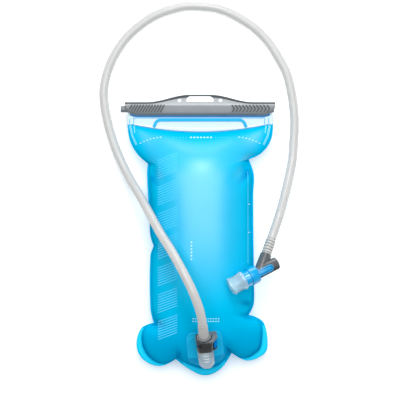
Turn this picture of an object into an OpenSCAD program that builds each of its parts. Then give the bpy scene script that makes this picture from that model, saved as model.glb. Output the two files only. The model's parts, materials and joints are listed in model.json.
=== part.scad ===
// Hydration bladder, filled and lying on its back, with hose and bite valve.
// Millimetres. X to the right, Y towards the slide seal, Z up from the table.

/* [Bag] */
// Length from the lowest lobe of the bag to the top of the handle
overall_length = 336; // [316:1:380]
// Width of the film at the mouth
mouth_width = 172; // [164:1:184]
// Width of the filled body over its side seams
body_width = 124; // [116:1:136]
// Width over the two corner lobes at the bottom
foot_width = 157; // [148:1:168]
// Thickness of the filled bag
bag_depth = 66; // [62:1:72]
// Height of the seam above the table
seam_height = 26; // [24:1:30]
// Width of the welded seam
seam_width = 5; // [3:0.5:7]
// Thickness of one film
film_thickness = 0.6; // [0.4:0.1:0.9]
// Radius of the half-round beads at the mouth
bead_radius = 3; // [2.5:0.1:3.4]
// Width of the stiffener strip
stiffener_width = 3.6; // [2:0.2:5]
// Thickness of the stiffener strip
stiffener_thickness = 0.8; // [0.5:0.1:1.5]
// Length of the stiffener strip over its feet
stiffener_length = 115; // [100:1:130]
// How far the feet of the stiffener strip splay
stiffener_splay = 7.5; // [5:0.5:12]
// Drop of the stiffener strip's feet
stiffener_drop = 10; // [8:0.5:11]
// Distance of the stiffener strip below the slide seal
stiffener_inset = 4; // [3.5:0.5:5]

/* [Slide seal] */
// How far the slide seal reaches past the film at each end
slide_overhang = 4; // [3.5:0.5:8]
// Thickness of the slide seal
slide_depth = 12.4; // [11.6:0.2:13.2]
// Height of the channel part of the slide seal
channel_height = 13; // [11.5:0.5:14]
// Height of the handle above the channel
handle_height = 11.4; // [10.5:0.2:15]
// Length of the handle's level top
handle_crown = 24; // [16:1:30]
// Length over which the handle falls to each end
handle_fall = 52; // [46:1:56]
// Thickness of the handle web
web_thickness = 4.6; // [3:0.2:6]
// Length of the hang slot
slot_length = 33; // [24:1:36]
// Width of the hang slot
slot_width = 6.6; // [5.5:0.2:6.8]
// Diameter of the tether eyes
eye_diameter = 4.4; // [3:0.2:5]
// Distance between the tether eyes
eye_spacing = 49; // [46:1:56]
// Gap between the slide seal and what it slides on
slide_gap = 0.35; // [0.25:0.05:0.45]
// Number of grip ribs at each end
rib_count = 11; // [4:1:12]
// Distance between grip ribs
rib_pitch = 3.7; // [3:0.1:3.8]

/* [Port] */
// Distance of the port from the lowest lobe
port_inset = 27; // [25:1:29]
// Sideways place of the port
port_side = 7; // [4:1:9]
// Thickness of the weld patch
skirt_thickness = 1.2; // [0.8:0.1:1.6]
// Width of the weld patch
skirt_width = 44; // [36:1:48]
// Height of the weld patch up the bag
skirt_height = 46; // [42:1:47]
// How far the middle of the weld patch lies above the port
skirt_rise = 7; // [6:0.5:7.5]
// Angle by which the plug stands off the film, degrees
port_lift = 10.5; // [8:0.5:12]
// Length of the clear elbow below the plug
elbow_length = 18; // [17:0.5:19]
// Height of the plug's axis above the film
port_axis_height = 12.6; // [12.2:0.1:15]
// Radius of the clear elbow
elbow_radius = 9.3; // [8.6:0.1:9.6]
// Radius of the neck through the film
neck_radius = 6.2; // [5.5:0.1:6.6]
// Radius of the plug
plug_radius = 6.4; // [6.2:0.1:6.6]
// Gap between plug and socket
plug_gap = 0.2; // [0.1:0.05:0.3]
// Stroke of the shut-off poppet
poppet_stroke = 2.4; // [1.5:0.1:2.6]

/* [Coupler] */
// Radius of the coupler body
coupler_radius = 10.2; // [9.8:0.1:10.5]
// Reach of the button side from the plug's axis
coupler_reach = 15.2; // [14.8:0.1:17]
// Stroke of the release button
button_stroke = 1.4; // [1:0.1:1.5]
// Gap round the latch plate and its button
latch_gap = 0.3; // [0.2:0.05:0.35]
// Height of the ferrule
ferrule_height = 2.6; // [2:0.1:4]

/* [Hose] */
// Outside diameter of the hose
hose_od = 10.6; // [9.8:0.1:10.9]
// Inside diameter of the hose
hose_id = 6.6; // [6:0.1:7]
// Radial stretch of the hose over its barbs
hose_flare = 0.7; // [0.5:0.1:0.9]

/* [Bite valve] */
// Radius of the elbow's barrel
barrel_radius = 7.4; // [7:0.1:7.8]
// Length of the elbow's barrel
barrel_length = 28; // [27:0.5:30]
// Radius of the hose branch
branch_radius = 6.8; // [6.2:0.1:7]
// Length of the hose branch from the barrel's axis
branch_length = 23; // [21:0.5:25]
// Radius of the twist collar
collar_radius = 11.2; // [10.6:0.1:11.6]
// Length of the twist collar's ring
collar_length = 10.4; // [10:0.2:13]
// Length of the lock tab
tab_length = 22; // [18:0.5:23]
// Width of the lock tab
tab_width = 8; // [6:0.2:8.6]
// Angle of the lock tab round the barrel, degrees
tab_turn = 28; // [20:1:32]
// Radius of the mouthpiece
mouthpiece_radius = 10.2; // [9.9:0.1:10.6]
// Length of the mouthpiece
mouthpiece_length = 19; // [18:0.5:22]
// Height of the mouthpiece's flattened lip
lip_height = 14.8; // [13:0.2:16]
// Gap of the turning fit in the twist collar
turn_gap = 0.1; // [0.05:0.01:0.15]

/* [Hidden] */
$fn = 48;

// Lines across the part
y_top = overall_length / 2;
y_bot = -overall_length / 2;
y_slide = y_top - channel_height - handle_height;
y_bead = y_slide + channel_height / 2 + 0.6;
y_film = y_bead + bead_radius * 0.7;
slide_length = mouth_width + 2 * slide_overhang;
front_rise = bag_depth - seam_height - film_thickness;
back_drop = seam_height / 0.8;
round_power = 2;

// Edges of the bag
half_mouth = mouth_width / 2;
body_x = 2.5;
left = body_x - body_width / 2;
right = body_x + body_width / 2;
foot_left = body_x - foot_width / 2;
foot_right = body_x + foot_width / 2;
low_x = 6;
spine_top = y_slide - 71.6;
spine_low = y_bot + 68;

// Film edge, counter-clockwise: place, 1 where it runs smoothly, steps to the next
edge_keys = concat(
    [for (k = [4:-1:-4]) [k * (half_mouth - 4) / 4.5, y_film, 0, 1]],
    [
        [-half_mouth, y_film, 0, 1],
        [-half_mouth - 0.8, y_slide - 13, 1, 2],
        [-half_mouth + 2.6, y_slide - 32, 1, 2],
        [-half_mouth + 11.6, y_slide - 47.5, 1, 2],
        [left - 3, y_slide - 58, 0, 2],
        [left - 4, y_slide - 72, 1, 4],
        [left - 1, y_bot + 186, 1, 2],
        [left, y_bot + 167, 1, 2],
        [left + 4, y_bot + 155, 0, 2],
        [left, y_bot + 143, 1, 4],
        [left, y_bot + 80, 1, 2],
        [left + 4, y_bot + 63, 0, 2],
        [foot_left + 5.5, y_bot + 56.4, 1, 2],
        [foot_left, y_bot + 35, 1, 3],
        [foot_left + 8, y_bot + 19, 1, 3],
        [foot_left + 28, y_bot + 11, 1, 3],
        [foot_left + 47, y_bot + 19.4, 0, 3],
        [low_x - 20, y_bot + 8, 1, 3],
        [low_x, y_bot, 1, 3],
        [low_x + 19, y_bot + 8, 1, 3],
        [foot_right - 43, y_bot + 27, 0, 3],
        [foot_right - 25, y_bot + 17.6, 1, 3],
        [foot_right - 5, y_bot + 25, 1, 2],
        [foot_right, y_bot + 35, 1, 3],
        [foot_right - 4, y_bot + 62, 1, 2],
        [foot_right - 14, y_bot + 70, 1, 2],
        [right - 6, y_bot + 72.5, 0, 2],
        [right, y_bot + 86, 1, 2],
        [right, y_bot + 114, 1, 6],
        [right - 0.7, y_slide - 95, 1, 2],
        [right, y_slide - 71, 1, 2],
        [right - 6, y_slide - 53, 0, 2],
        [half_mouth - 13, y_slide - 46, 1, 2],
        [half_mouth - 2, y_slide - 32, 1, 2],
        [half_mouth + 1.4, y_slide - 16, 1, 1],
        [half_mouth, y_film, 0, 1],
    ]);

function unit(v) = v / norm(v);

// v turned about X, then Y, then Z by the angles of a
function turned(v, a) =
    let (p = [v.x, v.y * cos(a.x) - v.z * sin(a.x), v.y * sin(a.x) + v.z * cos(a.x)])
    let (q = [p.x * cos(a.y) + p.z * sin(a.y), p.y, p.z * cos(a.y) - p.x * sin(a.y)])
    [q.x * cos(a.z) - q.y * sin(a.z), q.x * sin(a.z) + q.y * cos(a.z), q.z];

// Point at t of the curve from a to b that leaves along ta and arrives along tb
function curve(a, ta, b, tb, t) =
    a * (2 * t * t * t - 3 * t * t + 1) + ta * (t * t * t - 2 * t * t + t)
    + b * (3 * t * t - 2 * t * t * t) + tb * (t * t * t - t * t);

function key_at(i) = edge_keys[(i + len(edge_keys)) % len(edge_keys)];
function key_xy(i) = [key_at(i).x, key_at(i).y];
function key_way(i) = key_at(i)[2] * unit(key_xy(i + 1) - key_xy(i - 1));

edge = [
    for (i = [0:len(edge_keys) - 1])
        let (a = key_xy(i), b = key_xy(i + 1), n = key_at(i)[3], span = norm(b - a))
        for (j = [0:n - 1]) curve(a, key_way(i) * span, b, key_way(i + 1) * span, j / n)
];

// Crease under the mouth, where the filled part of the bag begins
function crease_y(x) = y_slide - 20.5 + 10 * pow(x / half_mouth, 2);
function spine_at(p) = [body_x, min(max(p.y, spine_low), spine_top)];
function seam_inner(p) =
    let (q = p - seam_width * unit(p - spine_at(p)))
    [q.x, min(q.y, crease_y(q.x))];
seam = [for (p = edge) seam_inner(p)];
seam_way = [for (p = seam) unit(p - spine_at(p))];

// Rise of the film from seam to crown, 1 on the crown
crown_at = 0.12;
function rise(r) =
    min(1, sqrt(max(0, 1 - pow(r, round_power)) / (1 - pow(crown_at, round_power))));

// Share of its full thickness that the bag has at y: it thins towards the mouth and the bottom lobes
mouth_share = 0.42;
foot_share = 0.69;
crown_top = spine_top - 8;
crown_low = y_bot + 118;
function ease(t) =
    let (u = min(max(t, 0), 1))
    u * u * (3 - 2 * u);
function fill(y) =
    (mouth_share + (1 - mouth_share) * ease((crease_y(0) - y) / (crease_y(0) - crown_top)))
    * (1 - (1 - foot_share) * ease((crown_low - y) / (crown_low - y_bot)));

// Ring at share r from spine to seam, d outside the film's inner face
function ring(r, d) = [
    for (i = [0:len(seam) - 1])
        let (c = spine_at(seam[i]))
        c + r * (seam[i] + d * seam_way[i] - c)
];
function flat_ring(pts, z) = [for (p = pts) [p.x, p.y, z]];

front_steps = [crown_at, 0.32, 0.52, 0.69, 0.82, 0.91, 0.97, 1];
function front_z(r, d, y) = seam_height + d + front_rise * rise(r) * fill(y);
function front_rings(d) = [for (r = front_steps) [for (p = ring(r, d)) [p.x, p.y, front_z(r, d, p.y)]]];

// Line along the middle of the front film, and its point that faces point i of a ring
crest_steps = 24;
function crest(d) = [
    for (k = [0:crest_steps])
        let (y = spine_top + (spine_low - spine_top) * k / crest_steps)
        [body_x, y, front_z(0, d, y)]
];
function crest_at(i) =
    round((spine_top - spine_at(seam[i % len(seam)]).y) / (spine_top - spine_low) * crest_steps);

back_steps = [1, 0.97, 0.91, 0.82, 0.7, 0.55, 0.35, crown_at];
function back_z(r, d, y) =
    max(film_thickness - d, seam_height - d - back_drop * rise(r) * fill(y));
function back_rings(d) = [for (r = back_steps) [for (p = ring(r, d)) [p.x, p.y, back_z(r, d, p.y)]]];

function flipped(list) = [for (i = [len(list) - 1:-1:0]) list[i]];

// Port frame: on the film, Y up the film, Z away from it
port_y = y_bot + port_inset;
port_xy = [port_side, port_y];
port_from = [body_x, spine_low];
port_way = unit(port_xy - port_from);
port_far = max([for (i = [0:len(seam) - 1]) unit(seam[i] - port_from) * port_way]);
port_seam = [for (p = seam) if (unit(p - port_from) * port_way == port_far) p][0];
port_reach = norm(port_seam - port_from);
port_r = norm(port_xy - port_from) / port_reach;
function port_line_z(r) = front_z(r, film_thickness, port_from.y + r * port_reach * port_way.y);
port_step = 0.01;
port_slope = (port_line_z(port_r - port_step) - port_line_z(port_r + port_step)) / (2 * port_step * port_reach);
port_at = [port_xy.x, port_xy.y, port_line_z(port_r)];
port_turn = [atan(port_slope) + port_lift, 0, atan2(port_way.x, -port_way.y)];
function port_point(p) = port_at + turned(p, port_turn);

// Places along the plug's axis
plug_from = elbow_length;
plug_to = plug_from + 15;
latch_from = plug_from + 11;
latch_to = latch_from + 2.6;
plate_thickness = latch_to - latch_from - 2 * 0.2;
groove_from = plug_from + 3.2;
pocket_at = plug_from + 5.2;
pocket_depth = 2.2;
seat_y = plug_from + 8;
chamber_from = plug_from - 5;
chamber_radius = 3.6;
seat_radius = 2.4;
seal_thickness = 0.5;
poppet_top = seat_y - poppet_stroke - seal_thickness - 0.1;
disc_thickness = 2;
stem_top = plug_to - 1.5;
ring_wire = 0.9;
groove_radius = plug_radius + plug_gap - 0.06 - 2 * ring_wire - 0.04;
coupler_from = plug_from + 0.5;
coupler_top = plug_from + 18;
socket_to = plug_to + 0.5;
plate_from = latch_to + 0.6;
button_inner = coupler_radius + button_stroke + 0.4;
slot_half = plug_radius + 2;
barb_length = 15;
barb_bore = 2.2;
hose_sides = 12;
barb_radius = (hose_id / 2 + hose_flare) * cos(180 / hose_sides) - 0.05;

// Valve frame: X along the barrel towards the mouthpiece
valve_at = [92, -32, bag_depth - 10];
valve_turn = [20, -14, 207];
function valve_point(p) = valve_at + turned(p, valve_turn);
branch_at = barrel_length - 4;
branch_angle = 138;
branch_way = [cos(branch_angle), -sin(branch_angle), 0];
collar_from = barrel_length + 0.4;
collar_to = collar_from + collar_length;
nose_radius = 5.2;
nose_to = collar_to + 7.5;
collar_nose_radius = mouthpiece_radius - 1.3;
collar_nose_to = nose_to + 4;
mouth_from = nose_to + 0.5;
mouth_to = mouth_from + mouthpiece_length;

// Hose route, mm
route = [
    [-0.5, -86.5, 100], [-9.5, -62.5, 104.5], [-21.5, -39, 98.5], [-33.5, -18, 82.5], [-47, 3, 64.5], [-59.5, 25, 46],
    [-72, 47, 31], [-84.5, 68, 19], [-96.5, 92, 10.5], [-105, 114, 6.5], [-111, 135, 5.5], [-115, 156, 5.5],
    [-116, 174, 5.5], [-113, 192, 5.5], [-107, 209, 5.5], [-99, 224, 5.5], [-87, 240, 5.5], [-70, 255, 5.5],
    [-52, 266, 5.5], [-35, 272, 5.5], [-18, 276, 5.5], [0, 276, 5.5], [18, 274, 5.5], [36, 268, 5.5],
    [54, 258, 5.5], [69, 247, 5.5], [83, 232, 5.5], [94, 215, 5.5], [104, 196, 5.5], [110, 173, 5.5],
    [113, 152, 5.5], [114, 135, 5.5], [113, 114, 6], [111, 90, 10], [106, 66, 18], [100, 42, 28],
    [94, 22, 37],
];
hose_straight = 18;
hose_points = concat(
    [port_point([0, coupler_top, port_axis_height]),
     port_point([0, coupler_top + hose_straight, port_axis_height])],
    route,
    [valve_point([branch_at, 0, 0] + branch_way * (branch_length + hose_straight)),
     valve_point([branch_at, 0, 0] + branch_way * branch_length)]);
hose_last = len(hose_points) - 1;
hose_ways = [
    for (i = [0:hose_last])
        i <= 1 ? unit(hose_points[1] - hose_points[0])
        : i >= hose_last - 1 ? unit(hose_points[hose_last] - hose_points[hose_last - 1])
        : unit(hose_points[i + 1] - hose_points[i - 1])
];
// Stretch of the hose at each point, full over the barbs
function stretch(i) = i <= 1 || i >= hose_last - 1 ? hose_flare : 0;
function hose_ring(i, radius) =
    let (side = unit(cross(hose_ways[i], [0, 0, 1])), up = cross(side, hose_ways[i]))
    [for (k = [0:hose_sides - 1])
        hose_points[i] + (radius + stretch(i))
            * (cos((k + 0.5) * 360 / hose_sides) * side + sin((k + 0.5) * 360 / hose_sides) * up)];

// Triangles between a ring of n points, from index a on, and the line of a crest, from index c on
function crest_cap(n, a, c) = [
    for (i = [0:n - 1])
        let (j = (i + 1) % n, s = crest_at(i), e = crest_at(j), way = e < s ? -1 : 1)
        each concat(
            [[a + j, a + i, c + s]],
            [for (k = [0:abs(e - s) - 1]) [a + j, c + s + way * k, c + s + way * (k + 1)]])
];

// Closed skin over rings of equal count, from a first ring to a last one, which may close on crests.
// From ring turn on, its quads are split the other way, so that both faces of a film match.
module skin(rings, joined = false, turn = 1000, first_crest = [], last_crest = []) {
    n = len(rings[0]);
    m = len(rings);
    first_at = n * m;
    last_at = first_at + len(first_crest);
    bands = [
        for (k = [0:m - (joined ? 1 : 2)], i = [0:n - 1])
            let (a = k * n, b = ((k + 1) % m) * n, j = (i + 1) % n)
            each k < turn
                ? [[a + i, a + j, b + j], [a + i, b + j, b + i]]
                : [[a + i, a + j, b + i], [a + j, b + j, b + i]]
    ];
    first_cap = first_crest ? crest_cap(n, 0, first_at) : [[for (i = [n - 1:-1:0]) i]];
    last_cap = last_crest
        ? [for (f = crest_cap(n, (m - 1) * n, last_at)) flipped(f)]
        : [[for (i = [0:n - 1]) (m - 1) * n + i]];
    caps = joined ? [] : concat(first_cap, last_cap);
    polyhedron(points = concat([for (r = rings) each r], first_crest, last_crest), faces = concat(bands, caps));
}

// Filled space under the front film's outside, grown by d
module front_dome(d) {
    skin(concat(front_rings(d), [flat_ring(ring(1, d), seam_height - 1)]), first_crest = crest(d));
}

module at_port() {
    translate(port_at) rotate(port_turn) children();
}

module along_y(y, h, r) {
    translate([0, y, 0]) rotate([-90, 0, 0]) cylinder(h = h, r = r);
}

module at_valve() {
    translate(valve_at) rotate(valve_turn) children();
}

module along_x(x, h, r) {
    translate([x, 0, 0]) rotate([0, 90, 0]) cylinder(h = h, r = r);
}

// Torus round the Y axis
module ring_y(y, r, wire) {
    translate([0, y, 0]) rotate([-90, 0, 0]) rotate_extrude() translate([r, 0]) circle(r = wire);
}

// Wound spring along Z from 0 to h
module spring(h, r, wire, turns) {
    steps = 8;
    last = turns * steps;
    line = [for (i = [0:last])
        [r * cos(i * 360 / steps), r * sin(i * 360 / steps), wire + (h - 2 * wire) * i / last]];
    gaps = [for (i = [0:last], j = [0:last]) if (j - i > steps / 2) norm(line[j] - line[i]) - 2 * wire];
    echo(least_gap_of_spring = min(gaps));
    skin([
        for (c = line)
            let (out = unit([c.x, c.y, 0]))
            [for (k = [5:-1:0]) c + wire * (cos(k * 60) * out + sin(k * 60) * [0, 0, 1])]
    ]);
}

module front_film() {
    color("deepskyblue") difference() {
        skin(concat(
            front_rings(film_thickness),
            [flat_ring(edge, seam_height + film_thickness), flat_ring(edge, seam_height)],
            flipped(front_rings(0))), turn = len(front_steps) + 1,
            first_crest = crest(film_thickness), last_crest = crest(0));
        at_port() translate([0, 0, -8]) cylinder(h = 12, r = neck_radius + 0.2);
    }
}

module back_film() {
    color("deepskyblue") skin(concat(
        flipped(back_rings(0)),
        [flat_ring(edge, seam_height), flat_ring(edge, seam_height - film_thickness)],
        back_rings(film_thickness)), turn = len(back_steps) + 1);
}

module bead() {
    intersection() {
        translate([-half_mouth, y_bead, 0]) rotate([0, 90, 0]) cylinder(h = mouth_width, r = bead_radius);
        translate([-mouth_width, y_bead - 10, 0]) cube([2 * mouth_width, 20, 10]);
    }
}

module front_bead() {
    color("lightskyblue") translate([0, 0, seam_height + film_thickness]) bead();
}

module back_bead() {
    color("lightskyblue") translate([0, 0, seam_height - film_thickness]) mirror([0, 0, 1]) bead();
}

module mouth_stiffener() {
    h = stiffener_length / 2;
    k = h - stiffener_splay;
    w = stiffener_width;
    y = y_slide - stiffener_inset;
    foot = y - stiffener_drop;
    color("dodgerblue") translate([0, 0, seam_height + film_thickness])
        linear_extrude(stiffener_thickness) polygon([
            [-h, foot], [-k, y], [k, y], [h, foot],
            [h - w, foot], [k - w * 0.6, y - w], [-k + w * 0.6, y - w], [-h + w, foot]]);
}

// Top edge of the slide seal above its channel
function handle_y(x) =
    let (t = min(max((abs(x) - handle_crown / 2) / handle_fall, 0), 1))
    channel_height + 2.4 + (handle_height - 2.4) * (1 + cos(180 * t)) / 2;

module slide_outline() {
    h = slide_length / 2;
    polygon(concat(
        [for (a = [0:15:90]) [h - 16 + 16 * sin(a), 11 - 11 * cos(a)]],
        [for (k = [16:-1:-16]) [k * h / 16, handle_y(k * h / 16)]],
        [for (a = [90:-15:0]) [-h + 16 - 16 * sin(a), 11 - 11 * cos(a)]]));
}

module slide_section() {
    d = slide_depth / 2;
    w = web_thickness / 2;
    c = channel_height;
    t = c + handle_height;
    polygon([[0, -d + 1.6], [1.6, -d], [c - 1.6, -d], [c + 2, -w], [t + 1, -w],
        [t + 1, w], [c + 2, w], [c - 1.6, d], [1.6, d], [0, d - 1.6]]);
}

module slide_seal() {
    slot_y = channel_height + handle_height - 1.8 - slot_width / 2;
    cavity = bead_radius + film_thickness + slide_gap;
    bead_up = y_bead - y_slide;
    color("slategray") translate([0, y_slide, seam_height]) {
        difference() {
            intersection() {
                translate([-slide_length / 2, 0, 0]) rotate([90, 0, 90])
                    linear_extrude(slide_length) slide_section();
                translate([0, 0, -slide_depth]) linear_extrude(2 * slide_depth) slide_outline();
            }
            translate([-slide_length / 2 - 1, bead_up, 0]) rotate([0, 90, 0])
                cylinder(h = slide_length - 1.5, r = cavity);
            translate([-slide_length / 2 - 1, -1, -film_thickness - slide_gap])
                cube([slide_length - 1.5, bead_up + 1, 2 * (film_thickness + slide_gap)]);
            translate([0, slot_y, -10]) linear_extrude(20) {
                square([slot_length - slot_width, slot_width], center = true);
                for (s = [-1, 1]) translate([s * (slot_length - slot_width) / 2, 0]) circle(d = slot_width);
            }
            for (s = [-1, 1]) translate([s * eye_spacing / 2, channel_height + 4.6, -10])
                cylinder(h = 20, d = eye_diameter);
        }
        for (k = [0:rib_count - 1]) {
            translate([-slide_length / 2 + 9 + k * rib_pitch, channel_height / 2, slide_depth / 2])
                rotate([0, 0, -28]) translate([-0.6, -3.4, -0.5]) cube([1.2, 6.8, 1]);
            for (s = [-1, 1])
                translate([slide_length / 2 - 9 - k * rib_pitch, channel_height / 2, slide_depth / 2])
                    rotate([0, 0, s * 34]) translate([-0.6, s > 0 ? -0.3 : -3.7, -0.5]) cube([1.2, 4, 1]);
        }
    }
}

module skirt_plan() {
    w = skirt_width / 2 - 8;
    h = skirt_height / 2 - 8;
    square([2 * w, skirt_height], center = true);
    square([skirt_width, 2 * h], center = true);
    for (sx = [-1, 1], sy = [-1, 1]) translate([sx * w, sy * h]) circle(r = 8);
}

module port_skirt() {
    color("deepskyblue") difference() {
        union() {
            difference() {
                intersection() {
                    front_dome(film_thickness + skirt_thickness);
                    at_port() translate([0, skirt_rise, -20]) linear_extrude(40) skirt_plan();
                }
                front_dome(film_thickness);
            }
            difference() {
                at_port() translate([0, 0, -4]) cylinder(h = 6.8, r = neck_radius + 2.4);
                front_dome(film_thickness);
            }
        }
        at_port() translate([0, 0, -8]) cylinder(h = 20, r = neck_radius + 0.15);
    }
}

module port_elbow() {
    h = port_axis_height;
    color("lightcyan") at_port() difference() {
        union() {
            translate([0, 0, -2.5]) cylinder(h = h + 2.5, r = neck_radius);
            translate([0, 0, h]) {
                sphere(r = elbow_radius);
                along_y(0, plug_from, elbow_radius - 0.3);
                for (k = [1:3]) along_y(k * plug_from / 4 - 0.7, 1.4, elbow_radius);
                along_y(plug_from - 1, plug_to - plug_from + 1, plug_radius);
            }
        }
        translate([0, 0, -3]) cylinder(h = h + 3, r = neck_radius - 1.8);
        translate([0, 0, h]) {
            along_y(0, chamber_from + 1, 2.2);
            along_y(chamber_from, seat_y - chamber_from, chamber_radius);
            along_y(seat_y - 1, plug_to - seat_y + 2, seat_radius);
            difference() {
                along_y(latch_from, latch_to - latch_from, plug_radius + 1);
                along_y(latch_from - 1, latch_to - latch_from + 2, plug_radius - 1.2);
            }
            difference() {
                along_y(groove_from, 2 * ring_wire + 0.4, plug_radius + 1);
                along_y(groove_from - 1, 2 * ring_wire + 2.4, groove_radius);
            }
        }
    }
}

module port_o_ring() {
    color("dimgray") at_port() translate([0, 0, port_axis_height])
        ring_y(groove_from + ring_wire + 0.2, groove_radius + 0.04 + ring_wire, ring_wire);
}

module poppet() {
    color("white") at_port() translate([0, 0, port_axis_height]) {
        along_y(poppet_top - disc_thickness, disc_thickness, chamber_radius - 0.4);
        along_y(poppet_top - 0.5, stem_top - poppet_top + 0.5, 1.2);
        along_y(poppet_top - disc_thickness - 3, 3.5, 1.1);
    }
}

module poppet_seal() {
    color("dimgray") at_port() translate([0, 0, port_axis_height]) difference() {
        along_y(poppet_top, seal_thickness, chamber_radius - 0.4);
        along_y(poppet_top - 1, seal_thickness + 2, 1.25);
    }
}

module poppet_spring() {
    h = poppet_top - disc_thickness - chamber_from;
    color("silver") at_port() translate([0, chamber_from + 0.02, port_axis_height]) rotate([-90, 0, 0])
        spring(h - 0.04, 2.7, 0.3, 4);
}

// Outline of the coupler across the plug's axis, in X and away from the film
module coupler_plan() {
    r = coupler_radius;
    circle(r = r);
    polygon([[-4, 0], [-4, -r * 0.9], [r * 0.5, -r * 0.86], [coupler_reach - 3, -r * 0.8],
        [coupler_reach, -r * 0.5], [coupler_reach, r * 0.3], [r * 0.62, r * 0.92], [-4, r * 0.92]]);
}

// Solid from y over h with the coupler's outline
module coupler_slab(y, h) {
    translate([0, y, 0]) rotate([-90, 0, 0]) mirror([0, 1, 0]) linear_extrude(h) coupler_plan();
}

module coupler_body() {
    h = port_axis_height;
    s = plug_radius + plug_gap;
    color("dimgray") at_port() translate([0, 0, h]) {
        difference() {
            union() {
                along_y(coupler_from, coupler_top - coupler_from, coupler_radius);
                coupler_slab(plate_from, coupler_top - plate_from);
                coupler_slab(coupler_from, 1.4);
                along_y(coupler_top - 0.5, barb_length + 0.5, barb_radius - 0.7);
                for (k = [1, 5.5, 10]) translate([0, coupler_top + k, 0]) rotate([-90, 0, 0])
                    cylinder(h = 3.5, r1 = barb_radius, r2 = barb_radius - 0.6);
            }
            along_y(coupler_from - 1, socket_to - coupler_from + 1, s);
            along_y(socket_to - 1, coupler_top + barb_length - socket_to + 2, barb_bore);
            translate([-coupler_radius - 2, latch_from - 0.1, -slot_half])
                cube([2 * coupler_radius + 4, latch_to - latch_from + 0.2, 2 * slot_half]);
            translate([coupler_radius - pocket_depth, pocket_at, 0]) rotate([0, 90, 0])
                cylinder(h = 6, r = 1.7);
            difference() {
                along_y(coupler_top - 1.2, 2, 9.2);
                along_y(coupler_top - 2, 4, 8.4);
            }
        }
        translate([-barb_bore - 0.3, socket_to, -0.5]) cube([2 * barb_bore + 0.6, 1.6, 1]);
        along_y(stem_top + 0.1, socket_to - stem_top + 0.5, 1);
    }
}

module release_latch() {
    y = latch_from + 0.2;
    s = plug_radius + plug_gap - 0.05;
    color("dodgerblue") at_port() translate([0, 0, port_axis_height]) {
        difference() {
            intersection() {
                translate([-coupler_radius, y, latch_gap - slot_half])
                    cube([coupler_radius + button_inner + 1, plate_thickness, 2 * (slot_half - latch_gap)]);
                union() {
                    along_y(y - 1, plate_thickness + 2, coupler_radius - 0.7);
                    translate([0, y - 1, -6.4]) cube([20, plate_thickness + 2, 12.8]);
                }
            }
            along_y(y - 1, plate_thickness + 2, s);
            translate([button_stroke + 0.2, 0, 0]) along_y(y - 1, plate_thickness + 2, s);
            translate([0, y - 1, -s]) cube([button_stroke + 0.2, plate_thickness + 2, 2 * s]);
        }
        translate([0, coupler_from + 1.4 + latch_gap, 0]) rotate([-90, 0, 0]) mirror([0, 1, 0])
            linear_extrude(plate_from - coupler_from - 1.4 - 2 * latch_gap) intersection() {
                coupler_plan();
                translate([button_inner, -6.4]) square([10, 12.8]);
            }
    }
}

module latch_spring() {
    from = coupler_radius - pocket_depth;
    color("silver") at_port() translate([from + 0.02, pocket_at, port_axis_height]) rotate([0, 90, 0])
        spring(button_inner - from - 0.04, 1.2, 0.2, 3);
}

module hose_ferrule() {
    color("lightgray") at_port() translate([0, 0, port_axis_height]) difference() {
        along_y(coupler_top, ferrule_height, 8.2);
        along_y(coupler_top - 1, ferrule_height + 2, hose_od / 2 + hose_flare + 0.1);
    }
}

module hose() {
    color("gainsboro") skin(concat(
        [for (i = [0:hose_last]) hose_ring(i, hose_od / 2)],
        [for (i = [hose_last:-1:0]) hose_ring(i, hose_id / 2)]), joined = true);
}

module at_branch() {
    translate([branch_at, 0, 0]) rotate([0, 0, -branch_angle]) children();
}

module valve_elbow() {
    color("dimgray") at_valve() difference() {
        union() {
            along_x(1.2, barrel_length - 1.2, barrel_radius);
            rotate([0, 90, 0]) cylinder(h = 1.21, r1 = barrel_radius - 1.2, r2 = barrel_radius);
            along_x(barrel_length - 1, nose_to - barrel_length + 1, nose_radius);
            at_branch() {
                along_x(0, branch_length, branch_radius);
                along_x(branch_length - 0.5, barb_length + 0.5, barb_radius - 0.7);
                for (k = [1, 5.5, 10]) translate([branch_length + k, 0, 0]) rotate([0, 90, 0])
                    cylinder(h = 3.5, r1 = barb_radius, r2 = barb_radius - 0.6);
            }
        }
        at_branch() along_x(0, branch_length + barb_length + 1, barb_bore);
        along_x(branch_at - 2, nose_to - branch_at - 1, 2.6);
        translate([0, -2, 0]) along_x(branch_at + 4, nose_to, 1.5);
        difference() {
            along_x(collar_from + 6, 2 * ring_wire + 0.4, nose_radius + 1);
            along_x(collar_from + 5, 5, nose_radius + turn_gap - 0.04 - 2 * ring_wire - 0.04);
        }
    }
}

module valve_o_ring() {
    color("black") at_valve() translate([collar_from + 6 + ring_wire + 0.2, 0, 0]) rotate([0, 90, 0])
        rotate_extrude() translate([nose_radius + turn_gap - 0.04 - ring_wire, 0]) circle(r = ring_wire);
}

module twist_collar() {
    lift = barrel_radius + 0.5;
    color("dodgerblue") at_valve() {
        difference() {
            union() {
                along_x(collar_from, collar_length, collar_radius);
                along_x(collar_to - 1, collar_nose_to - collar_to + 1, collar_nose_radius);
                rotate([-tab_turn, 0, 0]) translate([collar_from - tab_length + 2, 0, lift]) {
                    linear_extrude(2.4) {
                        translate([tab_width / 2, 0]) circle(d = tab_width);
                        translate([tab_width / 2, -tab_width / 2])
                            square([tab_length - tab_width / 2, tab_width]);
                    }
                    for (k = [0:4]) translate([3 + k * 2.6, -tab_width / 2 + 1, 2])
                        cube([1.1, tab_width - 2, 0.9]);
                }
            }
            along_x(collar_from - 1, nose_to + 0.3 - collar_from + 1, nose_radius + turn_gap);
            translate([0, -2, 0]) along_x(nose_to, 10, 1.5);
            along_x(nose_to + 2, 10, 3.1);
        }
    }
}

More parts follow.
